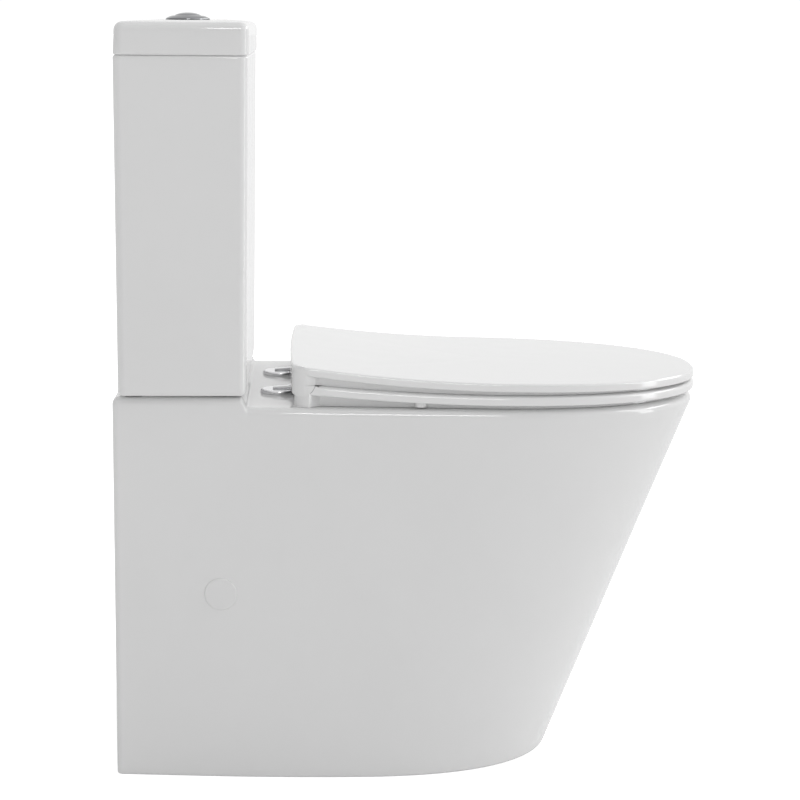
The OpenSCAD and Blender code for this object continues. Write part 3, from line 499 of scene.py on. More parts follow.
def wall_w(s, z):
    rw = 170 - 2 * up_t(z)
    c = tip_s(z) - 247
    return rw + (half_w(z) - rw) * np.sin(np.pi / 2 * np.clip((s - 12) / (c - 12), 0, 1))


RIM_R, TOP_Z, SKIRT_T = 9.0, 416.5, 10.0
NB, NC, NF = 12, 9, 76
SIDE = np.r_[np.linspace(0, 1, 17)[1:], ]


def even_curve(fx, fy, a0, a1, n, dense=3000):
    """n+1 points spread evenly along a curve given by its angle."""
    a = np.linspace(a0, a1, dense)
    p = np.c_[fx(a), fy(a)]
    d = np.r_[0, np.cumsum(np.hypot(*np.diff(p, axis=0).T))]
    t = np.interp(np.linspace(0, d[-1], n + 1), d, a)
    t[0], t[-1] = a0, a1
    return np.c_[fx(t), fy(t)], t


def outline(z, d):
    """Half the skirt's outline at height z, inset by d, and each point's place along it from 0 to 24."""
    z = float(z)
    c = float(tip_s(z)) - 247
    w0 = float(wall_w(12, z))
    r = max(2.0, 7 - d)
    n = mix(2.5, 2.2, float(up_t(z)))
    pts, h = [], []
    for i in range(NB):
        t = i / NB
        pts.append([d, (w0 - d - r) * t])
        h.append(3 * t)
    for i in range(NC + 1):
        a = math.pi / 2 * i / NC
        pts.append([d + r - r * math.cos(a), w0 - d - r + r * math.sin(a)])
        h.append(3 + 3 * i / NC)
    s_list = np.r_[np.linspace(9.5, 138, 18), np.linspace(140.5, 154, 20)]
    old = [7, 60, 110, 143, 145.7, 148.3, 151, c]
    oh = [6, 7, 8, 9, 10, 11, 12, 16]
    more = mix(154.0, c, np.linspace(0, 1, 23)[1:-1])
    for s in np.r_[s_list, more]:
        pts.append([s, float(wall_w(s, z)) - d])
        h.append(float(np.interp(s, old, oh)))
    L, w = 247 - 1.07 * d, float(half_w(z)) - d
    f, a = even_curve(lambda t: c + L * np.sin(t) ** (2 / n), lambda t: w * np.maximum(np.cos(t), 0) ** (2 / n), 0, math.pi / 2, NF)
    f[-1] = [c + L, 0]
    pts = np.vstack([pts, f])
    h = np.r_[h, 16 + 8 * a / (math.pi / 2)]
    return pts, h


HALF, H24 = outline(0, 0)
HP = len(HALF) - 1
BOWL_A = np.interp(H24, [0, 3, 6, 12, 16, 24], [0, 18, 24, 42, 88, 180])
EVEN_A = np.linspace(0, 180, HP + 1)


def wall_ring(z, d):
    return ring3(outline(z, d)[0], z)


def egg(a, back, front, b, n):
    a = np.radians(a)
    c, s = np.cos(a), np.sin(a)
    return np.c_[np.where(c > 0, -back * np.maximum(c, 0) ** (2 / n), front * np.maximum(-c, 0) ** (2 / n)), b * np.abs(s) ** (2 / n)]


def bowl_half(back, front, b, n, even):
    a = mix(BOWL_A, EVEN_A, even)
    c = mix(440.0, (back + front) / 2, even)
    e = egg(a, c - back, front - c, b, n)
    out = np.c_[c + e[:, 0], e[:, 1]]
    out[0, 1] = out[-1, 1] = 0
    return out


MOUTH = (262.0, 632.0, 141.0)


def mouth_half(d):
    return bowl_half(MOUTH[0] + d, MOUTH[1] - d, MOUTH[2] - d, 2.3, 0)


def pchip(x, y):
    """A smooth curve through points that never overshoots them."""
    x, y = np.asarray(x, float), np.asarray(y, float)
    h, dl = np.diff(x), np.diff(y) / np.diff(x)
    m = np.zeros_like(y)
    for i in range(1, len(x) - 1):
        if dl[i - 1] * dl[i] > 0:
            w1, w2 = 2 * h[i] + h[i - 1], h[i] + 2 * h[i - 1]
            m[i] = (w1 + w2) / (w1 / dl[i - 1] + w2 / dl[i])
    m[0], m[-1] = dl[0], dl[-1]

    def f(v):
        v = np.atleast_1d(np.asarray(v, float))
        k = np.clip(np.searchsorted(x, v) - 1, 0, len(x) - 2)
        t = (v - x[k]) / h[k]
        return (y[k] * (1 + 2 * t) * (1 - t) ** 2 + m[k] * h[k] * t * (1 - t) ** 2 + y[k + 1] * t * t * (3 - 2 * t) + m[k + 1] * h[k] * t * t * (t - 1))
    return f


# Height, back, front, half width and evenness of the bowl's sections, upwards
ROWS = np.array([[180, 343, 473, 58, 1.0], [210, 334, 498, 70, 0.9], [245, 323, 525, 84, 0.75], [290, 309, 560, 101, 0.55],
                 [340, 294, 596, 117, 0.3], [385, 280, 615, 127, 0.1], [416, 272, 622, 131, 0.0]])
ROW_F = [pchip(ROWS[:, 0], ROWS[:, k]) for k in range(1, 5)]


def bowl_ring(z, g=0.0):
    back, front, b, even = [float(f(z)[0]) for f in ROW_F]
    return ring3(bowl_half(back - g, front + g, b + g, 2.3 - 0.3 * even, even), z)


def dir2(deg):
    return np.array([math.cos(math.radians(deg)), math.sin(math.radians(deg))])


LIP, LIP_R, WEIR_R, TURN_R0, CHINA_T = np.array([330.0, 180.0]), 13.0, 14.0, 12.0, 9.0
RISE, FALL, OUT_Z = 58.0, 50.0, 180.0
CLIMB0 = LIP + (LIP_R + TRAP_R) * dir2(-90 - RISE)
WEIR_1Z = 217 - WEIR_R - (WEIR_R + TRAP_R) * math.sin(math.radians(-90 - RISE))
CLIMB_L = (WEIR_1Z - CLIMB0[1]) / math.sin(math.radians(RISE))
WEIR_C = CLIMB0 + CLIMB_L * np.array([-math.cos(math.radians(RISE)), math.sin(math.radians(RISE))]) + (WEIR_R + TRAP_R) * dir2(-90 - RISE)
DROP0 = WEIR_C - (WEIR_R + TRAP_R) * dir2(-90 + FALL)
TURN_R = TURN_R0 + TRAP_R
DROP_L = (DROP0[1] - OUT_Z - TURN_R * (1 - math.cos(math.radians(FALL)))) / math.sin(math.radians(FALL))
TURN_C = DROP0 + DROP_L * np.array([-math.cos(math.radians(FALL)), -math.sin(math.radians(FALL))]) - TURN_R * dir2(-90 + FALL)
TRAP_END = float(TURN_C[0])
FAN = np.array([[0, 130, 58], [-20, 118, 53], [-45, 104, 48], [-70, 92, 44], [-95, 84, 41], [-120, 80, 40], [-148, 80, 40]], float)
FAN_A, FAN_B = pchip(-FAN[:, 0], FAN[:, 1]), pchip(-FAN[:, 0], FAN[:, 2])


def trap_ring(c, t, a, b):
    e = egg(EVEN_A, a, a, b, 2)
    s = c[0] + e[:, 0] * math.cos(math.radians(t))
    z = c[1] + e[:, 0] * math.sin(math.radians(t))
    half = np.c_[s, e[:, 1]]
    half[0, 1] = half[-1, 1] = 0
    return ring3(half, z)


def trap_rings(g, skip_first=True):
    out = []
    for t in np.linspace(0, 148, 26)[1 if skip_first else 0:]:
        length, b = float(FAN_A(t)[0]), float(FAN_B(t)[0])
        out.append(trap_ring(LIP + (LIP_R + length / 2) * dir2(-t), -t, length / 2 + g, b + g))
    for t in np.linspace(-148, -40, 25):
        out.append(trap_ring(WEIR_C - (WEIR_R + TRAP_R) * dir2(t), t, TRAP_R + g, TRAP_R + g))
    for t in np.linspace(-40, -90, 13):
        out.append(trap_ring(TURN_C + TURN_R * dir2(t), t, TRAP_R + g, TRAP_R + g))
    out.append(trap_ring(np.array([TRAP_END - 6, OUT_Z]), -90, TRAP_R + g, TRAP_R + g))
    return out


def deck_rings(count=40):
    """The deck between its rounded edge and the mouth, close-set where the ledge steps up."""
    o = outline(TOP_Z, RIM_R)[0]
    m = mouth_half(0)
    t = np.linspace(0, 1, 600)
    s = o[:, :1] + (m[:, :1] - o[:, :1]) * t
    density = 1 + 14 * np.exp(-((s - 147) / 5.5) ** 2)
    run = np.cumsum(density, axis=1)
    run = (run - run[:, :1]) / (run[:, -1:] - run[:, :1])
    rings = []
    for k in range(1, count):
        tk = np.array([np.interp(k / count, run[i], t) for i in range(len(o))])
        p = o + (m - o) * tk[:, None]
        rings.append(ring3(p, deck_at(p[:, 0])))
    return rings


def make_pan():
    rings, zones = [], []

    def put(r, zone=0):
        rings.append(r)
        zones.append(zone)

    for a in np.linspace(0, 90, 5):
        d = 2.2 * (1 - math.sin(math.radians(a)))
        put(wall_ring(2.2 * (1 - math.cos(math.radians(a))), d), 1 if a < 60 else 0)
    for z in (5, 10, 20, 35, 55, 80, 110, 140, 175, 210, 245, 280):
        put(wall_ring(z, 0))
    for t in np.linspace(0, 1, 13)[1:-1]:
        o = outline(mix(280, TOP_Z, t), 0)[0]
        put(ring3(o, mix(280, deck_at(o[:, 0]) - RIM_R, t)))
    for a in np.linspace(0, 90, 13):
        o = outline(TOP_Z, RIM_R * (1 - math.cos(math.radians(a))))[0]
        put(ring3(o, deck_at(o[:, 0]) - RIM_R * (1 - math.sin(math.radians(a)))))
    for r in deck_rings():
        put(r)
    for a in np.linspace(0, 90, 12):
        p = mouth_half(10 * math.sin(math.radians(a)))
        put(ring3(p, deck_at(p[:, 0]) - 10 * (1 - math.cos(math.radians(a)))))
    for z in np.linspace(410, 180, 42):
        put(bowl_ring(z))
    for r in trap_rings(0):
        put(r)
    zones[-1] = 1
    for r in trap_rings(CHINA_T)[::-1]:
        put(r, 1)
    for z in np.linspace(180, 385, 22):
        put(bowl_ring(z, CHINA_T), 1)
    put(ring3(bowl_half(MOUTH[0] + 2, MOUTH[1] - 2, MOUTH[2] - 2, 2.3, 0), 414.5), 1)
    for z in (414.5, 330, 250, 120, 0):
        put(wall_ring(z, SKIRT_T), 1)
    pan = loft("pan", rings, wrap=True, zones=zones)

    chamber = box("c", 26, 134, -60, 60, 361, 416.5)
    channel = box("c2", 130, 300, -46, 46, 364, 416.5)
    core_rows = []
    for z in (290, 340, 385):
        core_rows.append(bowl_ring(z, 2.0))
    core_rows.append(ring3(bowl_half(MOUTH[0] + 8, MOUTH[1] - 8, MOUTH[2] - 8, 2.3, 0), DECK + 5))
    core = loft("core", core_rows)
    join(channel, [core], "DIFFERENCE")
    spigot = lathe("sp", [[0, 0], [51, 0], [51, 52.9]] + arc(51, 52.9, 49.5, 54.4, "v", 3)[1:] + [[0, 54.4]], 0, 0, 0, 120)
    spigot.data.transform(Matrix.Translation((0, yy(TRAP_END - 1) / 1000, OUT_Z / 1000)) @ Matrix.Rotation(math.radians(-90), 4, "X") @ Matrix.Translation((0, -yy(0) / 1000, 0)))
    join(pan, [chamber, channel, spigot], "UNION")

    def bore_y(name, s0, r, h):
        o = lathe(name, [[0, 0], [r, 0], [r, h], [0, h]], 0, 0, 0, 120)
        o.data.transform(Matrix.Translation((0, yy(s0) / 1000, OUT_Z / 1000)) @ Matrix.Rotation(math.radians(-90), 4, "X") @ Matrix.Translation((0, -yy(0) / 1000, 0)))
        return o

    cuts = [bore_y("b1", TRAP_END - 3, 43, TRAP_END), bore_y("b2", TRAP_END + 5, TRAP_R - 1, TRAP_END),
            rod_z("b3", INLET_S, 0, 56, LEDGE - 13, LEDGE + 17, 120), rod_z("b4", INLET_S, 0, 35, 375, 435, 96),
            box("b5", 36, 124, -50, 50, 371, 406.5), box("b6", 120, 300, -36, 36, 373, 405.5),
            rod_z("b7", 66, 130, 24, 400, 450), box("b8", -1, 14, -128, 128, -1, 330)]
    for k in (-1, 1):
        cuts.append(rod_z("b9", INLET_S, k * 82, 7.5, 400, 450, 48))
        cuts.append(rod_z("b10", HINGE_S, k * HINGE_X, 7, 400, 450, 48))
        o = lathe("b11", [[0, -25], [15.5, -25], [15.5, 25], [0, 25]], 0, 0, 0, 72, cap_frame(k))
        o.data.transform(Matrix.Translation((k * float(wall_w(CAP_S, CAP_Z)) / 1000, (yy(CAP_S) - yy(0)) / 1000, CAP_Z / 1000)))
        cuts.append(o)
    join(pan, cuts, "DIFFERENCE")
    return tidy(pan, "pan_china", 38)


def cap_frame(k):
    """Rows are the local x, y and z axes at a side cap, z out of the wall."""
    ds = float(wall_w(CAP_S + 8, CAP_Z) - wall_w(CAP_S - 8, CAP_Z))
    dz = float(wall_w(CAP_S, CAP_Z + 8) - wall_w(CAP_S, CAP_Z - 8))
    a, c = math.atan(dz / 16), k * math.atan(ds / 16)
    out = Vector((k * math.cos(a), 0, -math.sin(a)))
    out.rotate(Matrix.Rotation(c, 3, "Z"))
    side = Vector((0, 0, 1)).cross(out).normalized()
    up = out.cross(side).normalized()
    return np.array([side, up, out])


pan = make_pan()
dress(pan, "toilet_body", [M["china"], M["foot"]],
      [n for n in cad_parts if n.startswith("pan_")])

for k, side in ((-1, "left"), (1, "right")):
    top = [[0, 1.5]] + [[r, 1.5 - 0.3 * (r / 17.0) ** 2] for r in np.linspace(2, 16.6, 8)]
    prof = top + arc(16.6, 1.2, 18.5, -0.1, "h", 8)[1:] + [[18.5, -0.5], [15, -0.5], [15, -15], [12.5, -15], [12.5, -1.0], [0, -1.0]]
    cap = lathe("cap", prof, 0, 0, 0, 96, cap_frame(k))
    cap.data.transform(Matrix.Translation((k * float(wall_w(CAP_S, CAP_Z)) / 1000, (yy(CAP_S) - yy(0)) / 1000, CAP_Z / 1000)))
    tidy(cap, "side_cap_" + side)
    dress(cap, "toilet_body", M["cap"], ["side_caps"])


# ------------------------------------------------------------------ the cistern and its lid
def slab(s0, s1, w, r, steps=12):
    """Half a rounded rectangle, with close points beside each rounded corner."""
    out = [[s0, 0], [s0, (w - r) * 0.5], [s0, w - r - 2.0]]
    for a in np.linspace(0, math.pi / 2, steps + 1):
        out.append([s0 + r - r * math.cos(a), w - r + r * math.sin(a)])
    out.append([s0 + r + 2.0, w])
    out += [[mix(s0 + r, s1 - r, t), w] for t in (0.33, 0.66)]
    out.append([s1 - r - 2.0, w])
    for a in np.linspace(0, math.pi / 2, steps + 1):
        out.append([s1 - r + r * math.sin(a), w - r + r * math.cos(a)])
    out += [[s1, w - r - 2.0], [s1, (w - r) * 0.5], [s1, 0]]
    return np.array(out)


def body_ring(z, d, r=None):
    t = np.clip((z - CIST_Z) / (BODY_TOP - CIST_Z), 0, 1)
    return ring3(slab(6.3 + 0.7 * (1 - t) + d, mix(149.5, 152.5, t) - d, mix(177.0, 178.0, t) - d, max(2.5, 9 - (d if r is None else r))), z)


def quarter(d, r, z0, z1, steps=7):
    """Pairs (height, inset) round an edge: from inset d at z0 to inset 0 at z1."""
    return [(mix(z0, z1, 1 - math.cos(t)), d * (1 - math.sin(t))) for t in np.linspace(0, math.pi / 2, steps)]


def make_cistern():
    rings = []
    for z, d in quarter(5, 5, CIST_Z, CIST_Z + 5):
        rings.append(body_ring(z, d))
    for z in (448, 460, 550, 650, 740, 800, BODY_TOP - 4.5):
        rings.append(body_ring(z, 0))
    for t in np.linspace(0, math.pi / 2, 6):
        rings.append(body_ring(BODY_TOP - 3 + 3 * math.sin(t), 3 * (1 - math.cos(t))))
    for t in np.linspace(0, math.pi / 2, 4):
        rings.append(body_ring(BODY_TOP - 1.5 + 1.5 * math.cos(t), 8.5 + 1.5 * math.sin(t)))
    for z in (BODY_TOP - 3, 700, 560, 462):
        rings.append(body_ring(z, 10))
    for z, d in ((456, 10.6), (452, 12.5), (450, 16)):
        rings.append(body_ring(z, d))
    ob = loft("cistern", rings)
    cuts = [rod_z("k1", INLET_S, 0, 31.5, CIST_Z - 5, CIST_Z + 35, 120), rod_z("k2", 66, 130, 11.5, CIST_Z - 5, CIST_Z + 35)]
    for k in (-1, 1):
        cuts.append(rod_z("k3", INLET_S, k * 82, 6, CIST_Z - 5, CIST_Z + 35, 48))
        o = rod_z("k4", 0, 0, 4.5, -30, 30, 48)
        o.data.transform(Matrix.Translation((k * 0.085, yy(0) / 1000, 0.730)) @ Matrix.Rotation(math.radians(90), 4, "X") @ Matrix.Translation((0, -yy(0) / 1000, 0)))
        cuts.append(o)
    join(ob, cuts, "DIFFERENCE")
    return tidy(ob, "cistern_china", 38)


def lid_ring(z, d):
    back = 6.3 + 1.8 * float(np.clip((z - 812) / 32, 0, 1))
    return ring3(slab(back + d, 153.7 - d, 179.2 - d, max(2.5, 10 - d)), z)


def make_cistern_lid():
    rings = []
    for z, d in quarter(2.6, 2.6, BODY_TOP, BODY_TOP + 2.6, 6):
        rings.append(lid_ring(z, d))
    for z in (818.5, 829, LID_TOP - 11):
        rings.append(lid_ring(z, 0))
    for t in np.linspace(0, math.radians(84.5), 14):
        rings.append(lid_ring(LID_TOP - 9.39 + 9.2 * math.sin(t), 9.5 * (1 - math.cos(t))))
    for d in (10.5, 13, 16, 20, 25, 31, 38, 44, 58):
        rings.append(lid_ring(LID_TOP + 1.5 - 1.6 * (max(0, 44 - d) / 34) ** 2, d))
    ob = loft("lid", rings)
    inner = [ring3(slab(18.3, 140.5, 166, 6), z) for z in (BODY_TOP - 8, BODY_TOP + 2)]
    hollow = [ring3(slab(24, 135, 158, 6), z) for z in (BODY_TOP - 20, LID_TOP - 12)]
    join(ob, [loft("lid2", inner)], "UNION")
    join(ob, [loft("lid3", hollow), rod_z("lid4", BUTTON_S, 0, 19.8, BODY_TOP, BODY_TOP + 60, 96)], "DIFFERENCE")
    return tidy(ob, "cistern_lid_china", 38)


dress(make_cistern(), "toilet_body", M["china"], ["cistern"])
dress(make_cistern_lid(), "toilet_body", M["china"], ["cistern_lid"])


# ------------------------------------------------------------------ push buttons
BEZ = LID_TOP + 1.5
bezel_profile = ([[15.9, 1.9], [22.7, 1.9], [22.7, 0], [25.1, 0]] + arc(25.1, 0, 25.5, 0.3, "h", 3)[1:] + [[25.5, 0.8], [25.43, 1.2], [25.27, 1.5]] +
                 [[r, 4.75 - 0.0848 * (r - 16.6) ** 1.683] for r in np.linspace(25.0, 16.6, 18)] + [[16.3, 4.7], [16.05, 4.5], [15.92, 4.2], [15.9, 3.9]])
bezel = tidy(lathe("bezel", bezel_profile, BUTTON_S, 0, BEZ, 128), "button_bezel_chrome")
dress(bezel, "toilet_body", M["chrome"], ["button_bezel"])


def make_button(k, name):
    """Half of the round push button, with a soft edge and a slight crown."""
    n = 44
    r, gap = 15.3, 0.35
    a1 = math.acos(gap / r)
    base = [[gap, y] for y in np.linspace(-r * math.sin(a1), r * math.sin(a1), 21)]
    outer = [[r * math.cos(t), r * math.sin(t)] for t in np.linspace(a1, -a1, n)][1:-1]
    flat = np.array(base + outer)
    centre = np.array([r * 0.42, 0])

    def inset(d):
        v = flat.copy()
        rr = np.hypot(v[:, 0], v[:, 1])
        scale = np.minimum(1, (r - d) / np.maximum(rr, 1e-6))
        v = v * scale[:, None]
        v[:, 0] = np.maximum(v[:, 0], gap + d)
        return v

    def dome(p):
        q = p[:, 0] ** 2 + p[:, 1] ** 2
        return BEZ + 8.28 - 0.01 * q - 0.0000185 * q * q

    def level(p, z):
        return np.c_[k * p[:, 0], yy(BUTTON_S) + p[:, 1], z]

    flat_p = inset(0)
    rings = [level(flat_p, np.full(len(flat_p), LID_TOP + 4.0)), level(flat_p, np.full(len(flat_p), BEZ + 3.6))]
    for a in np.linspace(0, math.pi / 2, 7):
        p = inset(1.0 * (1 - math.cos(a)))
        rings.append(level(p, dome(p) - 0.75 * (1 - math.sin(a))))
    last = inset(1.0)
    for q in (0.94, 0.86, 0.76, 0.64, 0.5, 0.36, 0.22, 0.1):
        p = centre + (last - centre) * q
        rings.append(level(p, dome(p)))
    ob = loft("btn", rings, caps=("ngon", "fan"))
    stem = rod_z("stem", BUTTON_S, k * 9, 2.9, LID_TOP - 5, LID_TOP + 5, 40)
    join(ob, [stem], "UNION")
    return tidy(ob, name, 30)


dress(make_button(1, "full_button_chrome"), "full_button_body", M["chrome"], ["full_button"])
dress(make_button(-1, "half_button_chrome"), "half_button_body", M["chrome"], ["half_button"])


def make_spring(name, node, k, turns=6.5, r=4.3, wire=0.45, per=56, sides=12):
    """A coil spring with a closed turn at each end, as tall as its CAD node."""
    low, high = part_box(node)
    z0, h = low[2] * 1000 + wire, (high[2] - low[2]) * 1000 - 2 * wire
    n = int(turns * per)
    pts, faces = [], []
    for i in range(n + 1):
        t = turns * i / n
        a = 2 * math.pi * t
        z = z0 + float(np.interp(t, [0, 1, turns - 1, turns], [0, 2.1 * wire, h - 2.1 * wire, h]))
        for j in range(sides):
            b = 2 * math.pi * j / sides
            q = r + wire * math.cos(b)
            pts.append([9 * k + q * math.cos(a), yy(BUTTON_S) + q * math.sin(a), z + wire * math.sin(b)])
    for i in range(n):
        for j in range(sides):
            p, q = i * sides + j, i * sides + (j + 1) % sides
            faces.append([p, q, q + sides, p + sides])
    faces += [list(range(sides))[::-1], [n * sides + j for j in range(sides)]]
    ob = tidy(new_object(name, pts, faces), name, 50)
    dress(ob, "toilet_body", M["steel"], [node])
    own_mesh(ob)


make_spring("full_spring_coil", "full_spring", 1)
make_spring("half_spring_coil", "half_spring", -1)


# ------------------------------------------------------------------ the seat
SEAT_C = 430.0


def seat_rise(s):
    return np.maximum(0, (SEAT_C - np.asarray(s, float)) / 215) ** 2


def ring_low(s):
    return DECK + 4.1 - 0.010 * (s - SEAT_C) + 9 * seat_rise(s)


def lid_low(s):
    return DECK + 19.7 - 0.020 * (s - SEAT_C) + 12.2 * seat_rise(s)


def seat_w(s):
    return 182 - 9.3 * np.maximum(0, (SEAT_C - np.asarray(s, float)) / 215) ** 1.2


SB, SC, SS, SF = 12, 12, 22, 70


def seat_half(s0, r, d):
    w = float(seat_w(s0 + r)) - d
    q = max(3.0, r - d)
    L = OVERALL - SEAT_C - d
    out, h = [], []
    for i in range(SB):
        t = i / SB
        out.append([s0 + d + 3 * t * t, (w - q) * t])
        h.append(4 * t)
    for i in range(SC + 1):
        a = math.pi / 2 * i / SC
        out.append([s0 + 3 + d + q - q * math.cos(a), w - q + q * math.sin(a)])
        h.append(4 + 4 * i / SC)
    start = s0 + 3 + d + q
    e = float(seat_w(start)) - d - w
    for i in range(1, SS):
        t = i / SS
        s = mix(start, SEAT_C, t)
        out.append([s, float(seat_w(s)) - d - e * (1 - t) ** 4])
        h.append(8 + 4 * t)
    f, a = even_curve(lambda t: SEAT_C + L * np.sin(t) ** (2 / 2.2), lambda t: (182 - d) * np.maximum(np.cos(t), 0) ** (2 / 2.2), 0, math.pi / 2, SF)
    f[-1] = [SEAT_C + L, 0]
    return np.vstack([out, f]), np.r_[h, 12 + 10 * a / (math.pi / 2)]


_, S22 = seat_half(224.6, 4, 0)
HOLE_A = np.interp(S22, [0, 4, 8, 12, 22], [0, 32, 48, 84, 180])


def hole_half(d):
    e = egg(HOLE_A, 455 - 318 + d, 606 - 455 + d, 108 + d, 2.4)
    out = np.c_[455 + e[:, 0], e[:, 1]]
    out[0, 1] = out[-1, 1] = 0
    return out


def rise_from(low, half, up):
    return ring3(half, low(half[:, 0]) + up)


RH = 10.3
RB, RC = 224.6, 4.0
LH, LT = 9.6, 5.0
LB = 196.6
CHEEK_X, CHEEK_R = 146.0, 17.2


def outline_block(name, d=0.15, z0=AXIS_Z - 40, z1=AXIS_Z + 30, back=LB, corner=22.0):
    h = seat_half(back, corner, d)[0]
    return loft(name, [ring3(h, z0), ring3(h, z1)])


def lip(name, back, corner, low, high, d0, d1, start=216, span=34, e=0.15):
    """A thin wall set back under the seat's edge; towards the hinges it comes out to the edge."""
    def at(d):
        h = seat_half(back, corner, d)[0]
        near = seat_half(back, corner, 3.0 + d - d0)[0]
        w = smooth((near[:, 0] - start) / span)[:, None]
        return near + (h - near) * w

    rings = [(d0 + e, 0.0), (d0, e), (d0, None), (d1, None), (d1, e), (d1 - e, 0.0)]
    out = []
    for d, up in rings:
        h = at(d)
        out.append(ring3(h, high(h[:, 0]) if up is None else low(h[:, 0], d) + up))
    return loft(name, out, wrap=True)


def make_seat_ring():
    so = lambda d: seat_half(RB, RC, d)[0]
    rings = []
    for t in np.linspace(0, math.pi / 2, 6):
        rings.append(rise_from(ring_low, so(2.2 * (1 - math.sin(t))), 2.2 * (1 - math.cos(t))))
    rings.append(rise_from(ring_low, so(0), RH - 5.4))
    for t in np.linspace(0, math.pi / 2 - 0.12, 11):
        rings.append(rise_from(ring_low, so(4.4 * (1 - math.cos(t))), RH - 4.4 + 4.4 * math.sin(t)))
    a, b = so(4.4 * (1 - math.cos(math.pi / 2 - 0.12))), hole_half(8)
    for t in np.linspace(0, 1, 20)[1:-1]:
        rings.append(rise_from(ring_low, mix(a, b, t), RH - 0.03 + 9.2 * t - 8.0 * t * t))
    for t in np.linspace(0, math.pi / 2, 10):
        rings.append(rise_from(ring_low, hole_half(8 * (1 - math.sin(t))), RH - 5.5 + 6.7 * math.cos(t)))
    rings.append(rise_from(ring_low, hole_half(0), 3))
    for t in np.linspace(0, math.pi / 2, 5)[1:]:
        rings.append(rise_from(ring_low, hole_half(2.5 * (1 - math.cos(t))), 3 * (1 - math.sin(t))))
    u0, u1 = hole_half(2.5), so(2.2)
    for t in (0.2, 0.4, 0.6, 0.8):
        rings.append(rise_from(ring_low, mix(u0, u1, t), 0))
    ob = loft("ring", rings, wrap=True)

    low222, low236 = float(ring_low(222)), float(ring_low(236))
    tail = [[AXIS_S + (CHEEK_R + 0.4) * math.cos(math.radians(t)), AXIS_Z + (CHEEK_R + 0.4) * math.sin(math.radians(t))] for t in np.linspace(-18, -51, 9)]
    tail += [[AXIS_S + 11.6, low222 + 0.8], [AXIS_S + 13, low222 + 0.2], [236, low236 + 0.2], [236, low236 + 8], [AXIS_S + 17.6, AXIS_Z - 5]]
    for k in (-1, 1):
        t = prism("tail", tail, *sorted((k * CHEEK_X, k * 186)))
        join(t, [outline_block("ob")], "INTERSECT")
        join(ob, [t], "UNION")
    reach = lambda s: AXIS_Z - np.sqrt(37.4 ** 2 - np.minimum(0, s - AXIS_S) ** 2)
    under = lip("lip", LB, 22, lambda s, d: np.where(s < AXIS_S, reach(s), deck_at(s) + 0.2), lambda s: mix(AXIS_Z - 10, ring_low(s) + 3, smooth((s - 220) / 9)), 15.0, 17.5, 219, 9)
    join(under, [box("lc", 190, 238, -147, 147, 400, 470), barrel("lb", -190, 190, CHEEK_R + 0.4, n=128)], "DIFFERENCE")
    join(ob, [under], "UNION")
    for k in (-1, 1):
        join(ob, [rod_z("stop", 344, k * 167, 6.8, float(deck_at(344)) + 2.2, float(ring_low(343)) + 2, 48)], "UNION")
    arm = [[AXIS_S, AXIS_Z - 9], [240, float(ring_low(240)) + 2], [240, float(ring_low(240)) + 9], [226, AXIS_Z - 3], [AXIS_S + 5, AXIS_Z + 7.3], [AXIS_S, AXIS_Z + 7]]
    for k in (-1, 1):
        for q in (-1, 1):
            x = k * HINGE_X + q * 12.3
            join(ob, [prism("arm", arm, x - 4.7, x + 4.7), barrel("kn", x - 4.7, x + 4.7, 9.0)], "UNION")
    cuts = [barrel("pin", k * HINGE_X - 40, k * HINGE_X + 40, 3.06, n=48) for k in (-1, 1)]
    for s, x in ((345, 146), (570, 118)):
        for k in (-1, 1):
            z = float(ring_low(s))
            cuts.append(rod_z("so", s, k * x, 8.03, z - 3, z + 3, 64))
    join(ob, cuts, "DIFFERENCE")
    return tidy(ob, "seat_ring_moulding", 34)


def notch(k):
    """What the gap under the lid's edge takes off a cheek, deeper towards the front."""
    plan = np.array([[AXIS_S + 2, 181], [AXIS_S + 2, 171.8], [AXIS_S + 10, 170.6], [AXIS_S + 18, 168.4], [AXIS_S + 32, 164], [AXIS_S + 32, 181]])
    p = np.c_[k * plan[:, 1], [yy(v) for v in plan[:, 0]]]
    n = len(p)
    points = [(x, y, AXIS_Z - 4.6) for x, y in p] + [(x, y, AXIS_Z + 35.4) for x, y in p]
    faces = [list(range(n)), list(range(2 * n - 1, n - 1, -1))] + [[i, i + n, (i + 1) % n + n, (i + 1) % n] for i in range(n)]
    if k < 0:
        faces = [f[::-1] for f in faces]
    return new_object("notch", points, faces)


